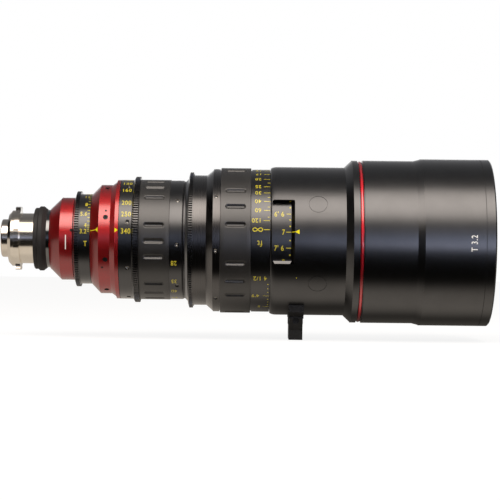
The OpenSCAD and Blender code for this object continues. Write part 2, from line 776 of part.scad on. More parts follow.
// Rear housing: a cone and a cylinder
module rear_housing() color(anodised_red) difference() {
    turned([[bumper_bore_r, rear_housing_x], [rear_cone_r, rear_housing_x], [rear_housing_r, rear_cyl_x],
        [rear_housing_r, rear_housing_end], [iris_bearing_r + seat_gap, rear_housing_end],
        [iris_bearing_r + seat_gap, iris_barrel_x], [iris_bearing_r - barrel_shoulder, iris_barrel_x],
        [rear_cone_r - housing_wall, rear_housing_x + web_t], [bumper_bore_r, rear_housing_x + web_t]]);
    small_screws() screw_bore(0, 0, small_screw_r, iris_bearing_r - screw_grip, rear_housing_r);
}

// Places of the small screws in the rear housing
module small_screws() for (i = [0:small_screw_count - 1])
    translate([rear_housing_end - small_screw_inset, 0, 0])
        rotate([near_deg - small_screw_deg + i * 360 / small_screw_count, 0, 0]) children();

// Places of the large screws in the relay housing
module large_screws() for (i = [0:screw_count - 1])
    translate([relay_cyl_x + large_screw_share * relay_cyl_l, 0, 0])
        rotate([near_deg - large_screw_deg + i * 360 / screw_count, 0, 0]) children();

// Screws that hold the two housings to the barrels inside them
module housing_screws() color(satin_black) {
    small_screws() socket_screw(0, 0, small_screw_r, iris_bearing_r - screw_grip, rear_housing_r);
    large_screws() socket_screw(0, 0, large_screw_r, zoom_bearing_r - screw_grip, relay_housing_r);
}

// Fixed barrel that the iris ring turns on, with the iris inside
module iris_barrel() color(aluminium) difference() {
    turned([[rear_cell_r + seat_gap, iris_barrel_x], [iris_bearing_r, iris_barrel_x],
        [iris_bearing_r, iris_barrel_end], [iris_chamber_r, iris_barrel_end],
        [iris_chamber_r, iris_barrel_x + web_t], [rear_cell_r + seat_gap, iris_barrel_x + web_t]]);
    arc_slot(iris_key_x, iris_key_deg - turn_slack, iris_key_deg + iris_turn + turn_slack,
        iris_key_r + iris_key_slot_gap, iris_chamber_r - 2 * cut, iris_bearing_r + cut);
    small_screws() screw_bore(0, 0, small_screw_r, iris_bearing_r - screw_grip, iris_bearing_r);
}

// Fixed plate that carries the pivots of the blades
module iris_base() color(satin_black) difference() {
    ring(iris_open_r + base_rim, iris_chamber_r - seat_gap, iris_base_x, iris_base_x + base_t);
    for (i = [0:blade_count - 1]) rotate([i * 360 / blade_count, 0, 0])
        translate([iris_base_x - cut, 0, -pivot_r]) rotate([0, 90, 0])
            cylinder(r = pivot_pin_r + run_gap, h = base_t + 2 * cut);
}

// Ring that keeps the actuator in the iris barrel
module iris_retainer() color(satin_black)
    ring(iris_open_r + base_rim, iris_chamber_r - seat_gap,
        iris_retainer_x, iris_retainer_x + iris_retainer_t);

// Toothed ring of the iris
module iris_gear() color(anodised_black)
    gear_ring(iris_gear_tip_r, iris_bore_r, rear_housing_r, iris_x, iris_scale_x, gear_slant_l);

// Iris scale ring, with the seat of the key
module iris_scale_ring() color(anodised_black) difference() {
    ring(iris_bore_r, iris_scale_r, iris_scale_x, iris_end);
    radial_rod(iris_key_deg, iris_key_x, iris_key_r + seat_gap,
        iris_chamber_r, iris_bore_r + iris_key_reach + seat_gap);
}

// Place of the drive pin when the blade has turned by an angle
function drive_pin(turn) = [pivot_r + lever_l * sin(turn), -lever_l * cos(turn)];

// The same place seen from the actuator, at a share of the ring's turn
function drive_path(part) = let (p = drive_pin(part * blade_turn), a = -part * iris_turn)
    [p[0] * cos(a) - p[1] * sin(a), p[0] * sin(a) + p[1] * cos(a)];

// One side of the slot that follows this path
function path_side(offset_w) = [for (i = [0:path_steps]) let (part = i / path_steps,
    p = drive_path(part), q = drive_path(part + path_delta), d = (q - p) / norm(q - p))
    [p[0] - d[1] * offset_w, p[1] + d[0] * offset_w]];

// Outline of one curved slot in the actuator
module actuator_slot() {
    side = path_side(actuator_slot_w / 2);
    other = path_side(-actuator_slot_w / 2);
    polygon(concat(side, [for (i = [path_steps:-1:0]) other[i]]));
    for (part = [0, 1]) translate(drive_path(part)) circle(actuator_slot_w / 2);
}

// Ring with curved slots that turns the blades, and the key that ties it to the iris ring
module iris_actuator() color(brass) {
    translate([actuator_x, 0, 0]) rotate([0, 90, 0]) linear_extrude(actuator_t) difference() {
        circle(actuator_r);
        circle(actuator_bore_r);
        for (i = [0:blade_count - 1]) rotate(i * 360 / blade_count) actuator_slot();
    }
    difference() {
        ring(actuator_r - actuator_rim_t, actuator_r, actuator_x + actuator_t, actuator_x + actuator_rim_l);
        radial_rod(iris_key_deg, iris_key_x, iris_key_r, actuator_r - 2 * actuator_rim_t, iris_bore_r);
    }
    radial_rod(iris_key_deg, iris_key_x, iris_key_r,
        actuator_r - actuator_rim_t, iris_bore_r + iris_key_reach);
}

// A flat bar with round ends between two points
module bar(from, to, half_w) {
    translate(from) rotate(atan2(to[1] - from[1], to[0] - from[0])) translate([0, -half_w])
        square([norm(to - from), 2 * half_w]);
    translate(from) circle(half_w);
    translate(to) circle(half_w);
}

// Curved outline of one iris blade with its ears
module blade_outline() {
    sector(iris_open_r, iris_open_r + blade_w, 0, blade_span_deg, blade_steps);
    for (a = [0, blade_span_deg]) rotate(a) translate([blade_mid_r, 0]) circle(blade_w / 2);
    bar([blade_mid_r, 0], [pivot_r, 0], ear_r);
    bar([pivot_r, 0], drive_pin(0), ear_r);
}

// One iris blade with its pivot pin behind and its drive pin in front
module iris_blade(number) color(satin_black) rotate([(number - 1) * 360 / blade_count, 0, 0]) {
    blade_x = blades_x + (number - 1) * blade_pitch;
    pin_x = iris_base_x + pin_sink;
    translate([blade_x, 0, 0]) rotate([0, 90, 0]) linear_extrude(blade_t) blade_outline();
    translate([pin_x, 0, -pivot_r]) rotate([0, 90, 0])
        cylinder(r = pivot_pin_r, h = blade_x + blade_t - pin_x);
    translate([blade_x, 0, 0]) rotate([0, 90, 0]) translate(drive_pin(0))
        cylinder(r = drive_pin_r, h = actuator_x + actuator_t - pin_sink - blade_x);
}

// Relay housing: cone, cylinder, flare and rim
module relay_housing() color(anodised_red) difference() {
    turned([[iris_bearing_r + seat_gap, relay_x], [relay_cone_r, relay_x], [relay_housing_r, relay_cyl_x],
        [relay_housing_r, relay_flare_x], [relay_flare_r, relay_rim_x], [relay_rim_r, relay_rim_x],
        [relay_rim_r, relay_end], [zoom_bearing_r + seat_gap, relay_end],
        [zoom_bearing_r + seat_gap, relay_seat_x], [guide_bore_r, relay_seat_x],
        [guide_bore_r, iris_barrel_end], [iris_bearing_r + seat_gap, iris_barrel_end]]);
    large_screws() screw_bore(0, 0, large_screw_r, zoom_bearing_r - screw_grip, relay_housing_r);
}

// Cell of the relay glass ahead of the iris
module relay_cell() color(anodised_black) turned([
    [relay_bore_r - rear_lip, relay_seat_x], [relay_cell_r, relay_seat_x],
    [relay_cell_r, relay_seat_x + relay_cell_l], [relay_bore_r, relay_seat_x + relay_cell_l],
    [relay_bore_r, relay_seat_x + rear_lip], [relay_bore_r - rear_lip, relay_seat_x + rear_lip]]);

// The two relay elements in that cell
module relay_glass() color(glass) {
    glass_r = relay_bore_r - seat_gap;
    for (x = [relay_seat_x + rear_lip, relay_seat_x + relay_cell_l - relay_glass_t])
        element(glass_r, x, x + relay_glass_t, relay_shares);
}

// Fixed barrel that carries the zoom and focus rings, the cover and the front
module main_barrel() color(aluminium) difference() {
    turned([[guide_r + seat_gap, main_barrel_x], [zoom_bearing_r, main_barrel_x], [zoom_bearing_r, divider_x],
        [divider_r, divider_x], [divider_r, divider_x + divider_l], [focus_bearing_r, divider_x + divider_l],
        [focus_bearing_r, flange_x], [cover_bore_r - seat_gap, flange_x],
        [cover_bore_r - seat_gap, adapter_seat_x], [flange_r, adapter_seat_x], [flange_r, barrel_end_x],
        [tail_r + run_gap, barrel_end_x], [tail_r + run_gap, barrel_step_x], [barrel_bore_r, barrel_step_x],
        [barrel_bore_r, main_barrel_x + web_t], [guide_r + seat_gap, main_barrel_x + web_t]]);
    arc_slot(zoom_key_x, zoom_key_deg - turn_slack, zoom_key_deg + zoom_turn + turn_slack,
        zoom_key_r + zoom_key_slot_gap, barrel_bore_r - cut, zoom_bearing_r + cut);
    for (i = [0:follower_count - 1]) long_slot(focus_pin_deg + i * 360 / follower_count,
        focus_pin_x - focus_back_travel, focus_pin_x + focus_near_travel, focus_pin_clear,
        tail_r - cut, focus_bearing_r + cut);
    large_screws() screw_bore(0, 0, large_screw_r, zoom_bearing_r - screw_grip, zoom_bearing_r);
}

// Tube with straight slots that guides the zoom carriages
module guide_tube() color(aluminium) difference() {
    turned([[guide_bore_r, guide_x], [guide_r, guide_x], [guide_r, guide_end - guide_flange_l],
        [tail_r + run_gap - seat_gap, guide_end - guide_flange_l], [tail_r + run_gap - seat_gap, guide_end],
        [guide_bore_r, guide_end]]);
    for (i = [0:follower_count - 1]) {
        deg = follower_deg + i * 360 / follower_count;
        long_slot(deg, variator_x, variator_x + variator_travel, follower_clear,
            guide_bore_r - cut, guide_r + cut);
        long_slot(deg, compensator_x - compensator_travel, compensator_x, follower_clear,
            guide_bore_r - cut, guide_r + cut);
    }
}

// Drum with the helical cam slots, turned by the zoom ring through its key
module cam_drum() color(brass) difference() {
    ring(drum_bore_r, drum_r, drum_x, drum_end);
    for (i = [0:follower_count - 1]) {
        deg = follower_deg + i * 360 / follower_count;
        helical_slot(deg, variator_x, variator_x + variator_travel, -zoom_turn, follower_r + cam_gap,
            drum_bore_r - cut, drum_r + cut);
        helical_slot(deg - zoom_turn, compensator_x - compensator_travel, compensator_x, zoom_turn,
            follower_r + cam_gap, drum_bore_r - cut, drum_r + cut);
    }
    radial_rod(zoom_key_deg, zoom_key_x, zoom_key_r + seat_gap,
        drum_r - zoom_key_root - seat_gap, drum_r + cut);
}

// Key that ties the cam drum to the zoom ring
module zoom_key() color(steel)
    radial_rod(zoom_key_deg, zoom_key_x, zoom_key_r, drum_r - zoom_key_root, zoom_sleeve_r - pin_sink);

// Sleeve that carries the rings of the zoom
module zoom_sleeve() color(aluminium) difference() {
    ring(zoom_bore_r, zoom_sleeve_r, zoom_x, zoom_end);
    radial_rod(zoom_key_deg, zoom_key_x, zoom_key_r + seat_gap, zoom_bore_r - cut, zoom_sleeve_r + cut);
    ring_screws(zoom_rear_screw_x, zoom_rear_screw_deg) screw_bore(0, 0, ring_screw_r,
        zoom_sleeve_r - screw_grip, zoom_sleeve_r);
    ring_screws(zoom_front_screw_x, zoom_front_screw_deg) screw_bore(0, 0, ring_screw_r,
        zoom_sleeve_r - screw_grip, zoom_sleeve_r);
}

// Places of the screws of one ring, starting at an angle above the level of the axis
module ring_screws(x, deg) for (i = [0:screw_count - 1])
    translate([x, 0, 0]) rotate([near_deg - deg + i * 360 / screw_count, 0, 0]) children();

// Focal length scale
module zoom_scale_ring() color(anodised_black) difference() {
    ring(zoom_seat_r, zoom_scale_r, zoom_x, zoom_gear_x);
    ring_screws(zoom_rear_screw_x, zoom_rear_screw_deg)
        screw_bore(0, 0, ring_screw_r, zoom_sleeve_r, zoom_scale_r);
}

// Toothed ring of the zoom
module zoom_gear() color(anodised_black)
    gear_ring(zoom_gear_tip_r, zoom_seat_r, zoom_scale_r, zoom_gear_x, zoom_grip_x, gear_slant_l);

// Rubber grip with groups of sunk slots between bare fields
module grip(bore_r, outer_r, x_from, x_to, bare_deg) {
    floor_r = outer_r - grip_slot_depth;
    margin = (x_to - x_from - grip_slot_l) / 2 + grip_slot_half;
    ring(bore_r, floor_r, x_from, x_to);
    difference() {
        ring(floor_r, outer_r, x_from, x_to);
        for (i = [0:grip_fields - 1], k = [1:grip_slots])
            long_slot(bare_deg + (i * (grip_slots + 1) + k) * 360 / (grip_fields * (grip_slots + 1)),
                x_from + margin, x_to - margin, grip_slot_half, floor_r - cut, outer_r + cut);
    }
}

// Rubber grip of the zoom
module zoom_grip() color(rubber_grey)
    grip(zoom_seat_r, zoom_grip_r, zoom_grip_x, zoom_front_x, near_deg - zoom_bare_deg);

// Ring ahead of the zoom grip, with the second scale
module zoom_front_ring() color(anodised_black) difference() {
    turned([[zoom_seat_r, zoom_front_x], [zoom_front_r, zoom_front_x], [zoom_front_r, zoom_end - ring_round],
        [zoom_front_r - ring_chamfer, zoom_end], [zoom_seat_r, zoom_end]]);
    ring_screws(zoom_front_screw_x, zoom_front_screw_deg)
        screw_bore(0, 0, ring_screw_r, zoom_sleeve_r, zoom_front_r);
}

// Screws of the two zoom scale rings
module zoom_screws() color(satin_black) {
    ring_screws(zoom_rear_screw_x, zoom_rear_screw_deg)
        socket_screw(0, 0, ring_screw_r, zoom_sleeve_r - screw_grip, zoom_scale_r);
    ring_screws(zoom_front_screw_x, zoom_front_screw_deg)
        socket_screw(0, 0, ring_screw_r, zoom_sleeve_r - screw_grip, zoom_front_r);
}

// A carriage: a ring with follower pins that reach out to the cam drum
module carriage(x, length) {
    turned([[carriage_r - carriage_wall - carriage_lip, x - length / 2], [carriage_r, x - length / 2],
        [carriage_r, x + length / 2], [carriage_r - carriage_wall, x + length / 2],
        [carriage_r - carriage_wall, x - length / 2 + carriage_lip],
        [carriage_r - carriage_wall - carriage_lip, x - length / 2 + carriage_lip]]);
    for (i = [0:follower_count - 1]) radial_rod(follower_deg + i * 360 / follower_count, x, follower_r,
        carriage_r - follower_root, drum_r - pin_sink);
}

// Carriage of the variator
module variator_carriage() color(aluminium) carriage(variator_x, variator_l);

// The two elements of the variator
module variator_glass() color(glass) {
    glass_r = carriage_r - carriage_wall - seat_gap;
    x = variator_x - variator_l / 2 + carriage_lip;
    front_x = x + variator_rear_t + elements_gap;
    element(glass_r, x, x + variator_rear_t, variator_shares[0]);
    element(glass_r, front_x, front_x + variator_front_t, variator_shares[1]);
}

// Carriage of the compensator
module compensator_carriage() color(aluminium) carriage(compensator_x, compensator_l);

// The element of the compensator
module compensator_glass() color(glass) {
    glass_r = carriage_r - carriage_wall - seat_gap;
    x = compensator_x - compensator_l / 2 + carriage_lip;
    element(glass_r, x, x + compensator_glass_t, compensator_shares);
}

// Drum that carries the rings of the focus; its sleeve under the cover holds the helical slots
module focus_drum() color(aluminium) difference() {
    turned([[focus_bore_r, focus_x], [focus_lead_in_r, focus_x],
        [focus_drum_r, focus_x + focus_lead_in_l], [focus_drum_r, focus_collar_x],
        [grip_drum_r, focus_collar_x], [grip_drum_r, distance_end], [cam_sleeve_r, distance_end],
        [cam_sleeve_r, cam_sleeve_end], [focus_bore_r, cam_sleeve_end]]);
    for (i = [0:follower_count - 1]) helical_slot(
        focus_pin_deg + i * 360 / follower_count + focus_back_turn, focus_pin_x - focus_back_travel,
        focus_pin_x + focus_near_travel, -focus_turn, focus_pin_r + cam_gap,
        focus_bore_r - cut, cam_sleeve_r + cut);
    ring_screws(focus_screw_x, focus_screw_deg)
        screw_bore(0, 0, ring_screw_r, grip_drum_r - screw_grip, grip_drum_r);
}

// Toothed ring of the focus
module focus_gear() color(anodised_black)
    gear_ring(focus_gear_tip_r, focus_seat_r, focus_slant_r, focus_gear_x, focus_sleeve_x, focus_slant_l);

// Brushed sleeve, cone and screwed collar of the focus
module focus_sleeve() color(satin_black) difference() {
    turned([[focus_seat_r, focus_sleeve_x], [gear_land_r, focus_sleeve_x],
        [gear_land_r, focus_sleeve_x + gear_land_l], [focus_sleeve_r, focus_sleeve_x + gear_land_l],
        [focus_sleeve_r, focus_cone_x], [focus_collar_r - ring_chamfer, focus_collar_x],
        [focus_collar_r, focus_collar_x], [focus_collar_r, focus_grip_x], [collar_lip_r, focus_grip_x],
        [collar_lip_r, focus_grip_x + collar_lip_l], [grip_seat_r, focus_grip_x + collar_lip_l],
        [grip_seat_r, focus_collar_x], [focus_seat_r, focus_collar_x]]);
    ring_screws(focus_screw_x, focus_screw_deg)
        screw_bore(0, 0, ring_screw_r, grip_drum_r, focus_collar_r);
}

// Screws of the focus collar
module focus_screws() color(satin_black) ring_screws(focus_screw_x, focus_screw_deg)
    socket_screw(0, 0, ring_screw_r, grip_drum_r - screw_grip, focus_collar_r);

// Rubber grip of the focus
module focus_grip() color(rubber_grey)
    grip(grip_seat_r, focus_grip_r, focus_grip_x + collar_lip_l, distance_x, near_deg - focus_bare_deg);

// Distance scale
module distance_ring() color(anodised_black) turned([
    [grip_seat_r, distance_x], [distance_r - collar_lip_sink, distance_x],
    [distance_r - collar_lip_sink, distance_x + collar_lip_l], [distance_r, distance_x + collar_lip_l],
    [distance_r, distance_end], [grip_seat_r, distance_end]]);

// Second distance scale, which shows in the window
module window_scale_ring() color(anodised_black)
    ring(cam_sleeve_r + seat_gap, window_scale_r, window_scale_x, window_scale_x + window_scale_l);

// Focusing group: a tail that slides in the main barrel, a bell for the glass, and its pins
module focus_carriage() color(anodised_black) {
    cell_x = bell_x + bell_cone_l;
    turned([[tail_r - tail_wall, tail_x], [tail_r, tail_x], [tail_r, bell_x], [bell_r, cell_x],
        [bell_r, cell_x + bell_l], [bell_r - bell_wall, cell_x + bell_l],
        [bell_r - bell_wall, cell_x + 2 * bell_seat_l], [bell_r - 2 * bell_wall, cell_x + 2 * bell_seat_l],
        [bell_r - 2 * bell_wall, cell_x + bell_seat_l], [tail_r - tail_wall, bell_x + bell_seat_l]]);
    for (i = [0:follower_count - 1]) radial_rod(focus_pin_deg + i * 360 / follower_count, focus_pin_x,
        focus_pin_r, tail_r - tail_wall / 2, cam_sleeve_r - pin_sink);
}

// The two elements of the focusing group
module focus_glass() color(glass) {
    glass_r = bell_r - bell_wall - seat_gap;
    x = bell_x + bell_cone_l + 2 * bell_seat_l;
    front_x = x + focus_glass_t + elements_gap;
    element(glass_r, x, x + focus_glass_t, focus_shares[0]);
    element(glass_r, front_x, front_x + focus_glass_t, focus_shares[1]);
}

// Fixed cover over the focus drum, with the window to the scale inside
module cover() color(anodised_black) difference() {
    turned(concat(
        [for (i = [0:rounding_steps]) let (a = 90 * i / rounding_steps)
            [cover_edge_r + (cover_r - cover_edge_r) * sin(a), cover_x + cover_round_l * (1 - cos(a))]],
        [[cover_r, cover_end], [cover_bore_r, cover_end], [cover_bore_r, cover_x + cover_lip],
        [window_scale_r + 2 * face_gap, cover_x + cover_lip], [window_scale_r + 2 * face_gap, cover_x]]));
    difference() {
        on_radius(near_deg - window_deg, cover_x + window_inset) translate([0, 0, cover_bore_r - window_sink])
            linear_extrude(window_sink + cover_wall + cut) window_outline();
        turned([[cover_bore_r - cut, window_end - window_bevel - bevel_over],
            [cover_r + cut, window_end + bevel_over], [cover_r + cut, window_end + window_over + cut],
            [cover_bore_r - cut, window_end + window_over + cut]]);
    }
    for (deg = plug_degs)
        radial_rod(near_deg - deg, plug_x, plug_r + seat_gap, cover_bore_r - cut, cover_r + cut);
}

// Rectangle with round corners for the window, which ends within the bevel
module window_outline() {
    long = window_l + window_over;
    flat_l = long - 2 * window_round;
    flat_h = window_h - 2 * window_round;
    translate([window_round, -window_h / 2]) square([flat_l, window_h]);
    translate([0, -flat_h / 2]) square([long, flat_h]);
    for (x = [window_round, long - window_round], y = [-flat_h / 2, flat_h / 2])
        translate([x, y]) circle(window_round);
}

// Two round plugs, flush with the cover, with a broken edge
module cover_plugs() color(anodised_black) for (deg = plug_degs) intersection() {
    union() {
        radial_rod(near_deg - deg, plug_x, plug_r, cover_bore_r - cut, cover_r - plug_edge_h);
        radial_rod(near_deg - deg, plug_x, plug_r - plug_edge_w, cover_bore_r, cover_r + cut);
    }
    ring(cover_bore_r + seat_gap, cover_r - run_gap, plug_x - 2 * plug_r, plug_x + 2 * plug_r);
}

// Flared adapter from the cover to the front barrel
module front_adapter() color(anodised_black) turned([
    [cover_bore_r, cover_end], [adapter_root_r, cover_end], [adapter_r - ring_chamfer / 2, adapter_band_x],
    [adapter_r, adapter_band_x], [adapter_r, stripe_x], [flange_r + seat_gap, stripe_x],
    [flange_r + seat_gap, adapter_seat_x], [cover_bore_r, adapter_seat_x]]);

// Coloured stripe: a crowned ring with a dark gap on each side
module stripe_ring() color(anodised_red) turned(concat(
    [for (i = [0:stripe_steps]) let (t = 2 * i / stripe_steps - 1)
        [stripe_r - stripe_crown * pow(t, 2), stripe_mid_x + t * stripe_half]],
    [[stripe_seat_r + seat_gap, stripe_mid_x + stripe_half],
    [stripe_seat_r + seat_gap, stripe_mid_x - stripe_half]]));

// Front barrel with its step cone and the seat of the front section
module front_barrel() color(anodised_black) turned([
    [barrel_rear_bore_r, stripe_x], [stripe_seat_r, stripe_x], [stripe_seat_r, front_barrel_x],
    [front_barrel_r, front_barrel_x], [front_barrel_r, step_x], [front_r - ring_chamfer / 2, front_x],
    [hood_seat_r, front_x], [hood_seat_r, front_x + hood_seat_l],
    [barrel_front_bore_r, front_x + hood_seat_l], [barrel_front_bore_r, front_barrel_x],
    [barrel_rear_bore_r, front_barrel_x]]);

// Front section
module front_section() color(anodised_black)
    ring(hood_bore_r, front_r, front_x, front_ring_x);

// Cell of the front glass
module front_cell() color(satin_black) turned([
    [front_glass_r - front_cell_wall, front_cell_x], [front_cell_r, front_cell_x],
    [front_cell_r, front_cell_end], [front_glass_r + seat_gap, front_cell_end],
    [front_glass_r + seat_gap, front_cell_x + web_t],
    [front_glass_r - front_cell_wall, front_cell_x + web_t]]);

// The two front elements
module front_glass() color(glass) {
    inner_x = front_cell_x + web_t;
    element(front_glass_r, inner_x, inner_x + inner_glass_t, front_shares[0]);
    element(front_glass_r, front_edge_x - front_glass_t, front_edge_x, front_shares[1]);
}

// Ring at the very front
module front_ring() color(anodised_black) turned([
    [front_open_r, front_ring_x], [front_r, front_ring_x], [front_r, front_end - ring_round],
    [front_r - ring_round, front_end], [front_open_r + ring_round, front_end],
    [front_open_r, front_end - ring_round]]);

// Extrudes an outline drawn across the lens along the axis
module across(x_from, length) translate([x_from, 0, 0]) rotate([90, 0, 90])
    linear_extrude(length) children();

// Saddle of the foot, with the tongue that the block grips
module foot_saddle() color(foot_black) difference() {
    across(foot_x, foot_w) {
        difference() {
            polygon([[-saddle_half, -saddle_top], [-saddle_half, saddle_slope_z + saddle_slope_h],
                [saddle_slope_w - saddle_half, saddle_slope_z],
                [saddle_slope_w - saddle_half, -saddle_bottom],
                [saddle_half - saddle_slope_w, -saddle_bottom],
                [saddle_half - saddle_slope_w, saddle_slope_z],
                [saddle_half, saddle_slope_z + saddle_slope_h], [saddle_half, -saddle_top]]);
            circle(cover_r + seat_gap);
        }
        translate([-tongue_half, -saddle_bottom - tongue_l]) square([2 * tongue_half, tongue_l]);
    }
    foot_screw_places() {
        translate([0, 0, foot_screw_end - seat_gap])
            cylinder(r = foot_screw_r + seat_gap, h = foot_screw_floor);
        translate([0, 0, foot_screw_floor]) cylinder(r = foot_screw_head_r + 2 * run_gap, h = block_top_half);
    }
}

// Block of the foot with the tapped hole
module foot_block() color(foot_black) difference() {
    across(foot_x + block_edge, foot_w - 2 * block_edge) difference() {
        polygon([[-block_top_half, -saddle_bottom], [-block_half, -saddle_bottom - block_slope_h],
            [-block_half, block_edge - foot_drop], [block_edge - block_half, -foot_drop],
            [block_half - block_edge, -foot_drop], [block_half, block_edge - foot_drop],
            [block_half, -saddle_bottom - block_slope_h], [block_top_half, -saddle_bottom]]);
        translate([-tongue_half - seat_gap, -saddle_bottom - tongue_l - seat_gap])
            square([2 * (tongue_half + seat_gap), tongue_l + cut]);
    }
    translate([foot_x + foot_w / 2, 0, -foot_drop - cut]) cylinder(r = foot_hole_r, h = foot_hole_l + cut);
    foot_screw_places() {
        translate([0, 0, tongue_half]) cylinder(r = foot_screw_r + seat_gap, h = foot_screw_floor);
        translate([0, 0, foot_screw_floor]) cylinder(r = foot_screw_head_r + 2 * run_gap, h = block_top_half);
    }
}

// Places of the two side screws, with Z pointing outwards
module foot_screw_places() for (side = [-1, 1])
    translate([foot_x + foot_w / 2, 0, -saddle_bottom - foot_screw_drop])
        rotate([-90 * side, 0, 0]) children();

// Side screws that clamp the block to the tongue
module foot_screws() color(satin_black) foot_screw_places() difference() {
    union() {
        translate([0, 0, foot_screw_end]) cylinder(r = foot_screw_r, h = foot_screw_floor - foot_screw_end);
        translate([0, 0, foot_screw_floor]) cylinder(r = foot_screw_head_r, h = foot_screw_head_h);
    }
    translate([0, 0, foot_screw_floor + foot_screw_head_h - socket_depth])
        cylinder(r = foot_screw_head_r * socket_share, h = socket_depth + cut, $fn = 6);
}

pl_mount();
rear_tube();
rear_glass();
rubber_bumper();
rear_collar();
rear_housing();
housing_screws();
iris_barrel();
iris_base();
iris_retainer();
iris_gear();
iris_scale_ring();
iris_actuator();
iris_blade(1);  // iris_blade_1
iris_blade(2);  // iris_blade_2
iris_blade(3);  // iris_blade_3
iris_blade(4);  // iris_blade_4
iris_blade(5);  // iris_blade_5
iris_blade(6);  // iris_blade_6
iris_blade(7);  // iris_blade_7
iris_blade(8);  // iris_blade_8
iris_blade(9);  // iris_blade_9
relay_housing();
relay_cell();
relay_glass();
main_barrel();
guide_tube();
cam_drum();
zoom_key();
zoom_sleeve();
zoom_scale_ring();
zoom_gear();
zoom_grip();
zoom_front_ring();
zoom_screws();
variator_carriage();
variator_glass();
compensator_carriage();
compensator_glass();
focus_drum();
focus_gear();
focus_sleeve();
focus_screws();
focus_grip();
distance_ring();
window_scale_ring();
focus_carriage();
focus_glass();
cover();
cover_plugs();
front_adapter();
stripe_ring();
front_barrel();
front_section();
front_cell();
front_glass();
front_ring();
foot_saddle();
foot_block();
foot_screws();
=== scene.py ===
"""Dresses a cinema zoom lens in its finishes, paints its scales and lights it for a studio portrait."""
import logging
import math
from collections.abc import Mapping, Sequence
from dataclasses import dataclass
from enum import Enum
from functools import cache
from typing import Any

import bmesh
import bpy
import numpy as np
from bpy.types import ColorRampElements, Material, Node, NodeSocket, NodeTree, Object, World
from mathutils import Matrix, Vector


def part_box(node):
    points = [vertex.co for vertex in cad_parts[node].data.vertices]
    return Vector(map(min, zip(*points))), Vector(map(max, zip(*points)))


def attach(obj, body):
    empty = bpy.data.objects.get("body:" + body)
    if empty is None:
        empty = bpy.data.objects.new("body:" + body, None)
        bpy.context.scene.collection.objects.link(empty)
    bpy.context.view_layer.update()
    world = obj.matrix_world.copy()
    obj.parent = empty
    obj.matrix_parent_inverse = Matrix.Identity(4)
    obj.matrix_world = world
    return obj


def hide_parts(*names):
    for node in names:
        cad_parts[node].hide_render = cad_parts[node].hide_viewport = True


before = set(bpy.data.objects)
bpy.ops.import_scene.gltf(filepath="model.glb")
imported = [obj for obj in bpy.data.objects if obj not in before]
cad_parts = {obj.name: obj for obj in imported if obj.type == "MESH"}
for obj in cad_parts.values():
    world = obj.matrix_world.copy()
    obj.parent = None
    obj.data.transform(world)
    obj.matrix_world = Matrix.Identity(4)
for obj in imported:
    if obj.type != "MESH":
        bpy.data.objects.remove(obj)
log = logging.getLogger("lens")

MM = 0.001

Colour = tuple[float, float, float, float]
Span = tuple[float, float]
Zone = tuple[float, float, float, float]
Labels = tuple[tuple[str, float], ...]
Mesh = tuple[np.ndarray, list[tuple[int, ...]]]


def linear(code: str) -> Colour:
    """Turns an sRGB hex colour into linear light, by the standard's curve: a straight foot, then a power of 2.4.

    Args:
        code: six hex digits.

    Returns:
        Red, green and blue in linear light, and an alpha of one.
    """
    srgb = np.array([int(code[i:i + 2], 16) / 255 for i in (0, 2, 4)])
    light = np.where(srgb <= 0.04045, srgb / 12.92, ((srgb + 0.055) / 1.055) ** 2.4)
    return (*light.tolist(), 1.0)


def emptied(owner: Material | World) -> NodeTree:
    """Switches on the nodes of a material or world and clears them.

    Args:
        owner: the material or world.

    Returns:
        Its empty node tree.
    """
    owner.use_nodes = True
    owner.node_tree.nodes.clear()
    return owner.node_tree


def add(tree: NodeTree, kind: str, sockets: Mapping[Any, Any] | Sequence[Any] = (), **settings: Any) -> Node:
    """Adds one node with its settings, values and links.

    Args:
        tree: the node tree that takes the node.
        kind: Blender's name for the node, after ShaderNode.
        sockets: what the inputs take, by name or number or in their order. It is a value, an output socket that is
            linked in, or a node whose first output is.
        settings: the node's own properties.

    Returns:
        The new node.
    """
    made = tree.nodes.new("ShaderNode" + kind)
    for name, value in settings.items():
        setattr(made, name, value)
    for name, value in sockets.items() if isinstance(sockets, Mapping) else enumerate(sockets):
        if isinstance(value, Node):
            value = value.outputs[0]
        if isinstance(value, NodeSocket):
            tree.links.new(value, made.inputs[name])
        else:
            made.inputs[name].default_value = value
    return made


def grade(elements: ColorRampElements, stops: Sequence[tuple[float, Colour]]) -> None:
    """Gives a colour ramp its stops.

    Args:
        elements: the ramp's stops as they are.
        stops: pairs of a place from 0 to 1 and a linear colour, at least as many as the ramp has.
    """
    while len(elements) < len(stops):
        elements.new(0.5)
    for element, (place, colour) in zip(elements, stops):
        element.position = place
        element.color = colour


def sort_rays(tree: NodeTree, plain: Node, gloss: Node, shown: Node) -> Node:
    """Gives each kind of ray its own shader.

    Args:
        tree: the nodes of the room or the floor.
        plain: what lights the lens.
        gloss: what the lens mirrors.
        shown: what the camera sees, straight or through glass.

    Returns:
        The shader that holds all three.
    """
    path = add(tree, "LightPath").outputs
    lit = add(tree, "MixShader", (path["Is Glossy Ray"], plain, gloss))
    direct = add(tree, "Math", (path["Is Camera Ray"], path["Is Transmission Ray"]), operation="MAXIMUM")
    return add(tree, "MixShader", (direct, lit, shown))


class Grain(Enum):
    """How the marks of its making lie on a surface."""

    RINGS = "rings"
    EVEN = "even"


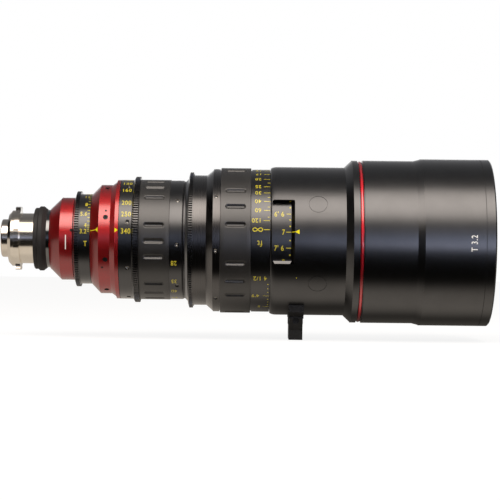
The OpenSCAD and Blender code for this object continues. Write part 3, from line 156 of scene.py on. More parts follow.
@dataclass(frozen=True)
class Finish:
    """A solid material, from its colour down to the marks of its making, with sizes in millimetres.

    The colour drifts to worn in patches, and the roughness moves by spread with the height of the marks. The real
    marks are finer than a tenth of a millimetre. They are drawn at pitch, as coarse as they have to be to show.
    """

    name: str
    colour: str
    worn: str
    metallic: float
    roughness: float
    spread: float
    grain: Grain
    pitch: float
    depth: float
    coat: float = 0.0
    coat_ior: float = 1.5
    coat_roughness: float = 0.3
    ior: float = 1.5
    octaves: float = 2.0
    fade: float = 0.55
    height_span: Span = (0.3, 0.7)
    drift: float = 26.316
    drift_octaves: float = 4.0
    drift_span: Span = (0.35, 0.8)

    def relief(self, tree: NodeTree, place: NodeSocket | Node) -> Node:
        """Height of the surface: on turned work it changes along the axis and with the radius, so it runs in rings.

        Args:
            tree: the material's nodes.
            place: the point on the object.

        Returns:
            A node whose first output runs from 0 to 1.
        """
        if self.grain is Grain.RINGS:
            x, y, z = add(tree, "SeparateXYZ", (place,)).outputs
            square = add(tree, "Math", (y, y), operation="MULTIPLY")
            total = add(tree, "Math", (z, z, square), operation="MULTIPLY_ADD")
            radius = add(tree, "Math", (total,), operation="SQRT")
            place = add(tree, "CombineXYZ", (x, radius))
        return add(tree, "TexNoise", {"Vector": place, "Scale": 1 / (self.pitch * MM), "Detail": self.octaves,
                                      "Roughness": self.fade})

    @cache
    def build(self) -> Material:
        """Makes the material once: colour and gloss drift a little over the piece, and the tool's lines lie on top.

        Returns:
            The material.
        """
        material = bpy.data.materials.new(self.name)
        material.diffuse_color = linear(self.colour)
        tree = emptied(material)
        place = add(tree, "TexCoord").outputs["Object"]
        height = self.relief(tree, place)
        cloud = add(tree, "TexNoise", {"Vector": place, "Scale": 1 / (self.drift * MM), "Detail": self.drift_octaves})
        tint = add(tree, "ValToRGB", (cloud,))
        grade(tint.color_ramp.elements, tuple(zip(self.drift_span, (linear(self.colour), linear(self.worn)))))
        rough = add(tree, "MapRange", (height, *self.height_span, self.roughness - self.spread,
                                       self.roughness + self.spread))
        bump = add(tree, "Bump", {"Height": height, "Strength": 1.0, "Distance": self.depth * MM})
        shader = add(tree, "BsdfPrincipled", {
            "Base Color": tint, "Metallic": self.metallic, "Roughness": rough, "Normal": bump, "IOR": self.ior,
            "Coat Weight": self.coat, "Coat IOR": self.coat_ior, "Coat Roughness": self.coat_roughness,
            "Coat Normal": bump})
        add(tree, "OutputMaterial", (shader,))
        return material


@dataclass(frozen=True)
class Glass:
    """Polished optical glass: a coating tints what it throws back, and patches of dust, in millimetres, haze it."""

    name: str
    body: str
    coating: str
    ior: float
    mirror: float = 0.35
    dust: float = 6.25
    dust_octaves: float = 3.0
    dust_span: Span = (0.55, 0.8)
    haze: float = 0.04

    @cache
    def build(self) -> Material:
        """Makes the glass once: clear inside, with a coloured gloss from its anti-reflection layers.

        Returns:
            The material.
        """
        material = bpy.data.materials.new(self.name)
        material.diffuse_color = linear(self.coating)
        tree = emptied(material)
        place = add(tree, "TexCoord").outputs["Object"]
        dust = add(tree, "TexNoise", {"Vector": place, "Scale": 1 / (self.dust * MM), "Detail": self.dust_octaves})
        rough = add(tree, "MapRange", (dust, *self.dust_span, 0.0, self.haze))
        shader = add(tree, "BsdfPrincipled", {
            "Base Color": linear(self.body), "Transmission Weight": 1.0, "Roughness": rough, "IOR": self.ior,
            "Specular Tint": linear(self.coating), "Specular IOR Level": self.mirror})
        add(tree, "OutputMaterial", (shader,))
        return material


# Anodised aluminium, turned: a dyed oxide skin over metal, dark with a soft sheen in rings
BLACK = Finish("anodised_aluminium_black_turned", "373738", "414142", 1.0, 0.31, 0.03, Grain.RINGS, 0.35, 0.004,
               coat=1.0, coat_ior=1.6, coat_roughness=0.27)
# Anodised aluminium dyed red: metal shines through the dye, so highlights go pink and shadows wine red
RED = Finish("anodised_aluminium_red_turned", "b61c1f", "aa181b", 1.0, 0.58, 0.03, Grain.RINGS, 0.35, 0.003,
             coat=1.0, coat_ior=1.8, coat_roughness=0.2)
# The same red on the crowned stripe, dyed deeper and sealed so that a bright line runs down its glow
STRIPE = Finish("anodised_aluminium_red_polished", "ea2a3a", "de2634", 1.0, 0.56, 0.02, Grain.RINGS, 0.3, 0.002,
                coat=1.0, coat_ior=1.9, coat_roughness=0.16)
# Aluminium brushed round and dyed black: coarser lines that break a sharp highlight up
BRUSHED = Finish("anodised_aluminium_black_brushed", "3d3b3b", "494746", 1.0, 0.27, 0.05, Grain.RINGS, 0.8, 0.01,
                 coat=1.0, coat_ior=1.62, coat_roughness=0.2)
# Anodised aluminium polished before its dye: the collar mirrors the key in one hard patch
POLISHED = Finish("anodised_aluminium_black_polished", "161617", "1c1c1d", 1.0, 0.16, 0.02, Grain.EVEN, 0.5, 0.001,
                  coat=1.0, coat_ior=2.4, coat_roughness=0.06)
# Anodised aluminium with milled teeth: their lands keep a keener shine than turned work
TOOTHED = Finish("anodised_aluminium_black_milled", "474646", "515050", 1.0, 0.29, 0.03, Grain.EVEN, 0.35, 0.003,
                 coat=1.0, coat_ior=1.7, coat_roughness=0.22)
# Aluminium blasted and dyed black: flat, for the foot and pieces inside, and for the painted shade of the pin holes and
# the painted shadow line at the front
MATT = Finish("anodised_aluminium_black_blasted", "151516", "1c1c1d", 0.35, 0.52, 0.05, Grain.EVEN, 0.5, 0.01)
# Stainless steel turned and polished: a bright mirror with the finest rings
STEEL = Finish("stainless_steel_turned", "ebe4d8", "ddd5c8", 1.0, 0.15, 0.05, Grain.RINGS, 0.4, 0.002)
# Nitrile rubber, moulded: grey black, a dull gloss over a fine skin
RUBBER = Finish("rubber_moulded_black", "1d1c1b", "262523", 0.0, 0.42, 0.05, Grain.EVEN, 0.45, 0.02, ior=1.62,
                coat=0.4, coat_ior=1.6, coat_roughness=0.32)
# Nitrile rubber, ground: the bumper is flat and shows no edge of the key
RUBBER_RING = Finish("rubber_ground_black", "171615", "1e1d1c", 0.0, 0.66, 0.05, Grain.RINGS, 0.6, 0.01)
# Aluminium left bare inside: soft grey with turning lines
BARE = Finish("aluminium_turned_bare", "a9aaac", "9b9c9f", 1.0, 0.33, 0.05, Grain.RINGS, 0.4, 0.006)
# Brass turned and unlacquered: warm yellow with turning lines
BRASS = Finish("brass_turned", "b99a55", "a78847", 1.0, 0.3, 0.05, Grain.RINGS, 0.4, 0.006)
# Spring steel blued for the blades: blue black and nearly flat
BLADE = Finish("spring_steel_blued", "2a2c31", "33353b", 1.0, 0.4, 0.05, Grain.EVEN, 0.8, 0.002)
# Screw steel in a thin black oxide: bright enough for a glint at the bottom of a dark socket
SCREW = Finish("alloy_steel_black_oxide", "8c8984", "98958f", 1.0, 0.17, 0.03, Grain.EVEN, 0.5, 0.002)
# Lacquer wiped into engraved numbers under a clear skin: yellow that the key washes out
FILL = Finish("lacquer_fill_yellow", "d4c41e", "c9b91a", 0.0, 0.5, 0.04, Grain.EVEN, 0.4, 0.004,
              coat=1.0, coat_ior=1.6, coat_roughness=0.27)
# The same yellow laid on thick and flat for the index marks, as vivid as it gets
YELLOW = Finish("lacquer_index_yellow", "f7e80a", "eedd08", 0.0, 0.5, 0.04, Grain.EVEN, 0.4, 0.004)
# White lacquer, flat, for the bar and the stop
WHITE = Finish("lacquer_fill_white", "fdfdfb", "f4f3f0", 0.0, 0.5, 0.04, Grain.EVEN, 0.4, 0.004)
# Optical glass: clear, with a cool violet or green cast from its coatings
FRONT_GLASS = Glass("optical_glass_coated_violet", "f4f6f4", "9a8fe0", 1.52)
INNER_GLASS = Glass("optical_glass_coated_green", "f3f7f3", "8fd6b0", 1.62)


def loops(*faces: np.ndarray) -> list[tuple[int, ...]]:
    """Corners of each face as a mesh takes them, from arrays that hold one face in each row."""
    return [tuple(face) for rows in faces for face in rows.tolist()]


def wrapped(index: np.ndarray) -> np.ndarray:
    """Four corners for each cell of a grid that closes on itself both ways."""
    right = np.roll(index, -1, 1)
    return np.stack([index, right, np.roll(right, -1, 0), np.roll(index, -1, 0)], -1).reshape(-1, 4)


@dataclass(frozen=True)
class Wall:
    """A round wall that marks are painted on: its radius follows its profile, and paint fills from root to rise."""

    body: str
    profile: tuple[Span, ...]
    rise: float = 0.05
    root: float = 0.04

    def reach(self, x: np.ndarray | float) -> np.ndarray:
        """Radius of the wall at places along the axis, in millimetres."""
        return np.interp(x, *np.array(self.profile).T)

    def arc(self, x: float, length: np.ndarray | float) -> np.ndarray:
        """Degrees that millimetres round the wall come to at a place along the axis."""
        return np.degrees(length / self.reach(x))

    def place(self, x: np.ndarray, angle: np.ndarray, height: np.ndarray | float) -> np.ndarray:
        """Puts points on the wall: r = profile(x) + height, y = -r cos(angle), z = r sin(angle).

        Args:
            x: places along the axis, in millimetres.
            angle: degrees above the axis level, on the camera's side.
            height: millimetres over the wall.

        Returns:
            Points in metres.
        """
        radius, turn = self.reach(x) + height, np.radians(angle)
        return np.stack([x, -radius * np.cos(turn), radius * np.sin(turn)], axis=-1) * MM


def strip(wall: Wall, x: np.ndarray, angle: float, half: np.ndarray | float, rows: int = 1) -> Mesh:
    """Makes a closed thin slab on a wall, as wide on one side of its middle angle as on the other.

    A point is at x(t) and angle + s * half(t), with s from -1 to 1 across and t along the slab, once at the root and
    once at the rise, and four strips close its rim.

    Args:
        wall: the wall that carries it.
        x: places along the axis.
        angle: the middle angle.
        half: degrees from the middle to either edge, at each place.
        rows: cells across.

    Returns:
        Points in metres and faces.
    """
    x, around = np.broadcast_arrays(x, angle + np.linspace(-1, 1, rows + 1)[:, None] * half)
    low, high = (wall.place(x, around, height).reshape(-1, 3) for height in (-wall.root, wall.rise))
    index = np.arange(x.size).reshape(x.shape)
    under = np.stack([index[:-1, :-1], index[:-1, 1:], index[1:, 1:], index[1:, :-1]], -1).reshape(-1, 4)
    rim = np.concatenate([index[0, :-1], index[:-1, -1], index[-1, :0:-1], index[:0:-1, 0]])
    after = np.roll(rim, -1)
    sides = np.stack([after, rim, rim + x.size, after + x.size], 1)
    return np.concatenate([low, high]), loops(under, under[:, ::-1] + x.size, sides)


@dataclass(frozen=True)
class Bar:
    """A straight mark: a tick, a line or a block, with its length along the axis and its width round it."""

    x: float
    angle: float
    length: float
    width: float
    cells: int = 2
    cell_width: float = 2.0

    def mesh(self, wall: Wall) -> Mesh:
        """Lays the mark on the wall, equally wide all along."""
        x = self.x + self.length * np.linspace(-0.5, 0.5, self.cells + 1)
        return strip(wall, x, self.angle, wall.arc(self.x, self.width / 2), max(1, round(self.width / self.cell_width)))


@dataclass(frozen=True)
class Arrow:
    """A filled triangle that points along the axis, forwards if its length is above zero, to a blunt tip."""

    x: float
    angle: float
    length: float
    width: float
    blunt: float = 0.04
    cells: int = 3

    def mesh(self, wall: Wall) -> Mesh:
        """Lays the triangle on the wall: its half width falls as 1 - (1 - blunt) * t from base to tip.

        Args:
            wall: the wall that carries it.

        Returns:
            Points in metres and faces.
        """
        t = np.linspace(0, 1, self.cells + 1)
        half = wall.arc(self.x, self.width / 2) * (1 - (1 - self.blunt) * t)
        return strip(wall, self.x + self.length * t, self.angle, half)


@dataclass(frozen=True)
class Dot:
    """A round mark, whose ends are a little blunt."""

    x: float
    angle: float
    radius: float
    blunt: float = 0.05
    cells: int = 12

    def mesh(self, wall: Wall) -> Mesh:
        """Lays the dot on the wall: x = -radius * cos(t) and half width = radius * sin(t), with t from 0 to pi.

        Args:
            wall: the wall that carries it.

        Returns:
            Points in metres and faces.
        """
        t = np.linspace(0, np.pi, self.cells + 1)
        half = wall.arc(self.x, self.radius * np.maximum(np.sin(t), self.blunt))
        return strip(wall, self.x - self.radius * np.cos(t), self.angle, half)


@dataclass(frozen=True)
class ShadowLine:
    """A painted shadow line all round where two rings meet: a dark band for the shade in the gap."""

    x: float
    width: float
    columns: int = 144

    def mesh(self, wall: Wall) -> Mesh:
        """Lays a band round the wall, from -180 to 180 degrees."""
        return strip(wall, self.x + self.width * np.array([-0.5, 0.5]), 0.0, 180.0, self.columns)


@dataclass(frozen=True)
class Figure:
    """A number or a short word in plain type.

    At size one, digit is how tall a digit is, and cuts are the lowest, the highest and the count of its cuts.
    """

    text: str
    x: float
    angle: float
    height: float
    turn: float = 0.0
    spread: float = 0.8
    weight: float = 0.014
    gap: float = 1.12
    digit: float = 0.72
    curve_cells: int = 4
    cuts: tuple[float, float, int] = (-0.2, 1.0, 7)
    weld: float = 1e-5

    def outline(self) -> Mesh:
        """Sets the type flat at size one and cuts it into strips so that it bends.

        Returns:
            Points and faces, with z above zero on the upper side.
        """
        curve = bpy.data.curves.new("type", "FONT")
        curve.body = self.text
        curve.offset = self.weight
        curve.space_character = self.gap
        curve.resolution_u = self.curve_cells
        # Any thickness does, as it only parts the upper side from the underside
        curve.extrude = 0.01
        holder = bpy.data.objects.new("type", curve)
        bpy.context.scene.collection.objects.link(holder)
        bpy.context.view_layer.update()
        flat = bpy.data.meshes.new_from_object(holder.evaluated_get(bpy.context.evaluated_depsgraph_get()))
        shape = bmesh.new()
        shape.from_mesh(flat)
        bmesh.ops.remove_doubles(shape, verts=shape.verts, dist=self.weld)
        bmesh.ops.recalc_face_normals(shape, faces=shape.faces)
        for level in np.linspace(*self.cuts).tolist():
            bmesh.ops.bisect_plane(shape, geom=[*shape.verts, *shape.edges, *shape.faces],
                                   plane_co=(0, level, 0), plane_no=(0, 1, 0))
        shape.verts.index_update()
        points = np.array([v.co[:] for v in shape.verts])
        faces = [tuple(v.index for v in f.verts) for f in shape.faces]
        shape.free()
        bpy.data.objects.remove(holder)
        bpy.data.curves.remove(curve)
        bpy.data.meshes.remove(flat)
        return points, faces

    def mesh(self, wall: Wall) -> Mesh:
        """Scales the type to its height, turns it about its middle and rolls it onto the wall.

        Args:
            wall: the wall that carries it.

        Returns:
            Points in metres and faces.
        """
        points, faces = self.outline()
        low, high = points.min(0), points.max(0)
        tall = self.digit if any(c.isdigit() for c in self.text) else high[1] - low[1]
        flat = (points - (low + high) / 2)[:, :2] * self.height / tall * (self.spread, 1.0)
        c, s = math.cos(math.radians(self.turn)), math.sin(math.radians(self.turn))
        u, v = (flat @ np.array([[c, s], [-s, c]])).T
        height = np.where(points[:, 2] > 0, wall.rise, -wall.root)
        return wall.place(self.x + u, self.angle + wall.arc(self.x, v), height), faces


@dataclass(frozen=True)
class Loop:
    """The sign for infinity, a band along a lemniscate."""

    x: float
    angle: float
    width: float
    line: float
    cells: int = 48

    def mesh(self, wall: Wall) -> Mesh:
        """Carries a band along x = a cos(t) / (1 + sin(t)^2), y = x sin(t) on the wall.

        Args:
            wall: the wall that carries it.

        Returns:
            Points in metres and faces.
        """
        t = np.linspace(0, 2 * np.pi, self.cells, endpoint=False)
        path = np.stack([np.cos(t), np.sin(t) * np.cos(t)], 1) * self.width / 2 / (1 + np.sin(t) ** 2)[:, None]
        along = np.roll(path, -1, 0) - np.roll(path, 1, 0)
        side = np.stack([-along[:, 1], along[:, 0]], 1) / np.linalg.norm(along, axis=1)[:, None] * self.line / 2
        rings = [wall.place(self.x + line[:, 0], self.angle + wall.arc(self.x, line[:, 1]), height)
                 for line, height in ((path - side, -wall.root), (path + side, -wall.root),
                                      (path + side, wall.rise), (path - side, wall.rise))]
        return np.concatenate(rings), loops(wrapped(np.arange(4 * self.cells).reshape(4, -1)))


Mark = Bar | Arrow | Dot | ShadowLine | Figure | Loop


def piece(name: str, mesh: Mesh, material: Material, smooth: bool = False) -> Object:
    """Makes an object at the origin from points and faces, with its faces turned outwards.

    Args:
        name: the piece's name.
        mesh: points in metres and faces.
        material: its material.
        smooth: whether its faces are shaded as one surface.

    Returns:
        The new object.
    """
    data = bpy.data.meshes.new(name)
    points, faces = mesh
    data.from_pydata(points.tolist(), [], faces)
    data.validate()
    shape = bmesh.new()
    shape.from_mesh(data)
    bmesh.ops.recalc_face_normals(shape, faces=shape.faces)
    shape.to_mesh(data)
    shape.free()
    if smooth:
        data.polygons.foreach_set("use_smooth", np.ones(len(data.polygons), dtype=bool))
    data.materials.append(material)
    made = bpy.data.objects.new(name, data)
    bpy.context.scene.collection.objects.link(made)
    return made


def dress(finish: Finish | Glass, *nodes: str) -> None:
    """Gives carried-over pieces their finish.

    Args:
        finish: the finish that they take.
        nodes: names of the pieces.
    """
    for name in nodes:
        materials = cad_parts[name].data.materials
        materials.clear()
        materials.append(finish.build())
        log.info("dressed %s in %s", name, finish.name)


def paint(name: str, wall: Wall, marks: Sequence[Mark], finish: Finish) -> None:
    """Joins marks into one piece that rides on the wall's body.

    Args:
        name: the piece's name.
        wall: the wall that carries the marks.
        marks: what is painted.
        finish: the paint.
    """
    points, faces, start = [], [], 0
    for mark in marks:
        some, corners = mark.mesh(wall)
        points.append(some)
        faces += [tuple(i + start for i in face) for face in corners]
        start += len(some)
    made = piece(name, (np.concatenate(points), faces), finish.build())
    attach(made, wall.body)
    log.info("painted %s: %d marks", name, len(marks))


@dataclass(frozen=True)
class Grip:
    """A moulded rubber grip: fields of sunk slots with soft walls, between bare fields."""

    node: str
    body: str
    thickness: float
    bare_angle: float
    slot_length: float = 20.5
    slot_width: float = 5.8
    depth: float = 1.5
    soft: float = 2.5
    edge: float = 0.6
    fields: int = 6
    slots: int = 3
    # The grid is fine at the slots' walls and ends and coarse between them, by these margins and counts of cells
    wall_margin: float = 0.15
    land_margin: float = 0.6
    end_margin: float = 0.2
    wall_cells: int = 20
    land_cells: int = 5
    end_cells: int = 12
    middle_cells: int = 5
    edge_cells: int = 4

    @property
    def straight(self) -> float:
        """Half the length of a slot between its round ends."""
        return (self.slot_length - self.slot_width) / 2

    def sink(self, x: np.ndarray, across: np.ndarray) -> np.ndarray:
        """Depth of a slot: depth * smoothstep((width / 2 - q) / soft), with q the distance to its middle line.

        Args:
            x: distance along the axis from the slot's middle, in millimetres.
            across: distance round the ring from it.

        Returns:
            Millimetres below the grip's surface.
        """
        q = np.hypot(np.maximum(np.abs(x) - self.straight, 0), across)
        share = np.clip((self.slot_width / 2 - q) / self.soft, 0, 1)
        return self.depth * share * share * (3 - 2 * share)

    def columns(self, radius: float) -> tuple[np.ndarray, np.ndarray, np.ndarray]:
        """Angles round the ring, close together where a slot's walls are.

        Args:
            radius: the grip's outer radius in millimetres.

        Returns:
            Each column's angle, its distance from the nearest pitch line, and whether that line has a slot.
        """
        count = self.fields * (self.slots + 1)
        pitch, half = 2 * np.pi * radius / count, self.slot_width / 2
        near, far = half + self.wall_margin, half + self.land_margin
        local = np.concatenate([np.linspace(-near, near, self.wall_cells + 1),
                                np.linspace(far, pitch - far, self.land_cells + 1)])
        along = (np.arange(count)[:, None] * pitch + local).ravel()
        line = np.round(along / pitch)
        has_slot = line.astype(int) % (self.slots + 1) != 0
        return self.bare_angle - np.degrees(along / radius), along - line * pitch, has_slot

    def mesh(self) -> Mesh:
        """Carries the grip's profile round the axis and sinks its outer rows where the slots are.

        Returns:
            Points in metres and faces.
        """
        low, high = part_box(self.node)
        x0, x1, outer = low.x / MM, high.x / MM, high.z / MM
        middle, bore = (x0 + x1) / 2, outer - self.thickness
        end = np.linspace(self.straight, self.slot_length / 2 + self.end_margin, self.end_cells + 1)
        inside = np.linspace(-self.straight, self.straight, self.middle_cells + 1)[1:-1]
        rows = middle + np.concatenate([-end[::-1], inside, end])
        turn = np.linspace(0, np.pi / 2, self.edge_cells + 1)
        inset, drop = self.edge * (1 - np.cos(turn)), self.edge * (1 - np.sin(turn))
        face = [bore, (bore + outer) / 2]
        x = np.concatenate([[x0, x0], x0 + inset, rows, x1 - inset[::-1], [x1, x1]])[:, None]
        base = np.concatenate([face, outer - drop, np.full(rows.shape, outer), outer - drop[::-1],
                               face[::-1]])[:, None]
        angle, across, has_slot = self.columns(outer)
        radius = base - self.sink(x - middle, across) * has_slot * (base > outer - self.edge / 2)
        turned = np.radians(angle)
        points = np.stack(np.broadcast_arrays(x, -radius * np.cos(turned), radius * np.sin(turned)), -1)
        return points.reshape(-1, 3) * MM, loops(wrapped(np.arange(radius.size).reshape(radius.shape)))

    def build(self) -> None:
        """Makes the grip in place of its carried-over node."""
        dress(RUBBER, self.node)
        made = piece(f"{self.node}_moulded", self.mesh(), RUBBER.build(), smooth=True)
        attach(made, self.body)
        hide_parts(self.node)
        log.info("moulded %s", made.name)


@dataclass(frozen=True)
class Screws:
    """Screws along radii with deep sockets: a row has its x, its first angle, its roots' radius and its heads'."""

    node: str
    body: str
    rows: tuple[tuple[float, float, float, float], ...]
    radius: float = 2.05
    socket: float = 1.75
    depth: float = 0.8
    cup: float = 0.9
    edge: float = 0.03
    tip: float = 0.04
    cup_cells: int = 8
    count: int = 8
    sides: int = 24

    def mesh(self) -> Mesh:
        """Turns one profile about each screw's radius, with a cup of cup * (1 - (q / socket)^2) under a straight wall.

        Returns:
            Points in metres and faces.
        """
        lip, floor, edge = self.socket, -self.depth, self.edge
        q = np.linspace(lip, self.tip, self.cup_cells + 1)
        across = np.concatenate([[self.radius] * 3, [self.radius - edge, lip + edge], [lip] * 3, q])
        up = np.concatenate([[0.0, -2 * edge, -edge, 0.0, 0.0, -edge, -2 * edge, floor + 2 * edge],
                             floor - self.cup * (1 - (q / lip) ** 2)])
        turn = np.linspace(0, 2 * np.pi, self.sides, endpoint=False)
        x, first, root, head = (column[:, None, None, None] for column in np.array(self.rows).T)
        level = head + up[:, None]
        level[:, :, 0] = root[:, :, 0]
        angle = np.radians(first + 360 / self.count * np.arange(self.count)[:, None, None])
        side = across[:, None] * np.sin(turn)
        points = np.stack(np.broadcast_arrays(x + across[:, None] * np.cos(turn),
                                              side * np.sin(angle) - level * np.cos(angle),
                                              side * np.cos(angle) + level * np.sin(angle)), -1)
        index = np.arange(points[..., 0].size).reshape(-1, len(up), self.sides)
        after = np.roll(index, -1, -1)
        walls = np.stack([index[:, :-1], after[:, :-1], after[:, 1:], index[:, 1:]], -1).reshape(-1, 4)
        return points.reshape(-1, 3) * MM, loops(walls, index[:, 0], index[:, -1])

    def build(self) -> None:
        """Makes the screws in place of their carried-over node."""
        dress(SCREW, self.node)
        made = piece(f"{self.node}_socketed", self.mesh(), SCREW.build(), smooth=True)
        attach(made, self.body)
        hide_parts(self.node)
        log.info("turned %s", made.name)


@dataclass
class RearEnd:
    """The steel mount, the rear tube and the red housing before the iris ring."""

    housing: Wall = Wall("housing", ((45.1, 40.0), (57.3, 40.0)))
    bar: Bar = Bar(51.3, -5.0, 0.9, 14.0)

    def build(self) -> None:
        """Dresses the rear end and paints the white bar on its red cylinder."""
        dress(STEEL, "pl_mount", "rear_tube")
        dress(RUBBER_RING, "rubber_bumper")
        dress(POLISHED, "rear_collar")
        dress(RED, "rear_housing")
        dress(MATT, "housing_screws")
        dress(INNER_GLASS, "rear_glass")
        paint("rear_index_bar", self.housing, [self.bar], WHITE)


@dataclass
class IrisAssembly:
    """The iris ring with its gear and scale, and the diaphragm inside."""

    scale: Wall = Wall("iris_ring", ((63.6, 43.65), (74.3, 43.65)))
    cone: Wall = Wall("housing", ((74.7, 43.9), (83.3, 52.85)))
    number_height: float = 4.5
    letter: Figure = Figure("T", 70.4, -6.1, 4.95)
    tick_x: float = 73.1
    tick_length: float = 2.2
    tick_width: float = 0.6
    stops: tuple[tuple[str, float, float], ...] = (
        ("3.2", 68.3, 9.4), ("4", 70.3, 17.2), ("5.6", 68.3, 33.0), ("8", 70.3, 49.0), ("11", 70.2, 67.5),
        ("16", 69.6, 84.0), ("22", 69.3, 98.0))
    parts: int = 3
    blades: int = 9
    index: tuple[Mark, ...] = (Arrow(82.9, 9.8, -2.6, 5.0), Bar(78.1, 9.8, 6.4, 0.6))

    def ticks(self) -> list[Bar]:
        """Ticks that part the way from each stop to the next into equal shares.

        Returns:
            The ticks, from the open end.
        """
        angles = np.array([angle for _, _, angle in self.stops])
        places = np.interp(np.arange((len(angles) - 1) * self.parts + 1) / self.parts, np.arange(len(angles)), angles)
        return [Bar(self.tick_x, float(a), self.tick_length, self.tick_width) for a in places]

    def build(self) -> None:
        """Dresses the iris and paints its scale and its index."""
        dress(TOOTHED, "iris_gear")
        dress(BLACK, "iris_scale_ring")
        dress(MATT, "iris_base", "iris_retainer")
        dress(BARE, "iris_barrel")
        dress(BRASS, "iris_actuator")
        dress(BLADE, *(f"iris_blade_{k + 1}" for k in range(self.blades)))
        numbers = [Figure(text, x, angle, self.number_height) for text, x, angle in self.stops]
        paint("iris_numbers", self.scale, [*numbers, self.letter], FILL)
        paint("iris_ticks", self.scale, self.ticks(), FILL)
        paint("iris_index", self.cone, self.index, YELLOW)


@dataclass
class ZoomAssembly:
    """The relay housing, the zoom ring with its scales, and the cam and carriages inside."""

    rear: Wall = Wall("zoom_ring", ((102.9, 57.9), (115.0, 57.9)))
    front: Wall = Wall("zoom_ring", ((151.0, 57.8), (164.0, 57.8)))
    rim: Wall = Wall("housing", ((98.6, 57.0), (99.0, 57.8), (102.5, 57.8)))
    cylinder: Wall = Wall("housing", ((83.4, 52.85), (94.0, 52.85)))
    grip: Grip = Grip("zoom_grip", "zoom_ring", 4.2, 28.5)
    screws: Screws = Screws("zoom_screws", "zoom_ring", ((111.15, 16.5, 51.95, 57.3), (158.4, -5.0, 51.95, 57.2)))
    # Painted shade: dark dots that stand for the shadow inside the relay housing's pin holes
    pin_hole_shades: tuple[Dot, ...] = (Dot(90.2, 30.5, 1.0), Dot(87.0, -31.0, 1.0), Dot(90.2, 150.5, 1.0),
                             Dot(87.0, -151.0, 1.0))
    number_x: float = 109.8
    number_height: float = 5.2
    lengths: Labels = (
        ("340", 7.5), ("250", 24.2), ("200", 36.7), ("160", 54.0), ("120", 67.8), ("100", 82.0), ("75", 104.0),
        ("60", 120.0), ("50", 132.0), ("40", 146.0), ("35", 153.5), ("28", 165.4))
    far_x: float = 155.6
    far_height: float = 4.8
    far_side: Labels = (
        ("28", -23.0), ("35", -43.8), ("40", -58.8), ("50", -75.6), ("75", -98.0), ("120", -124.0), ("200", -152.0),
        ("340", -181.0))
    index: Arrow = Arrow(99.3, 8.4, 3.1, 4.3)

    def build(self) -> None:
        """Dresses the zoom section and paints both of its scales and the index."""
        dress(RED, "relay_housing")
        dress(MATT, "relay_cell")
        dress(INNER_GLASS, "relay_glass", "variator_glass", "compensator_glass")
        dress(TOOTHED, "zoom_gear")
        dress(BLACK, "zoom_scale_ring", "zoom_front_ring", "main_barrel")
        self.grip.build()
        self.screws.build()
        dress(BARE, "guide_tube", "zoom_sleeve", "variator_carriage", "compensator_carriage")
        dress(BRASS, "cam_drum")
        dress(STEEL, "zoom_key")
        # Painted shade for the pin holes, in dark dots
        paint("relay_pin_hole_shades", self.cylinder, self.pin_hole_shades, MATT)
        marks = [Figure(text, self.number_x, angle, self.number_height) for text, angle in self.lengths]
        paint("zoom_numbers", self.rear, marks, FILL)
        marks = [Figure(text, self.far_x, angle, self.far_height, turn=180) for text, angle in self.far_side]
        paint("zoom_numbers_far_side", self.front, marks, FILL)
        paint("zoom_index", self.rim, [self.index], YELLOW)


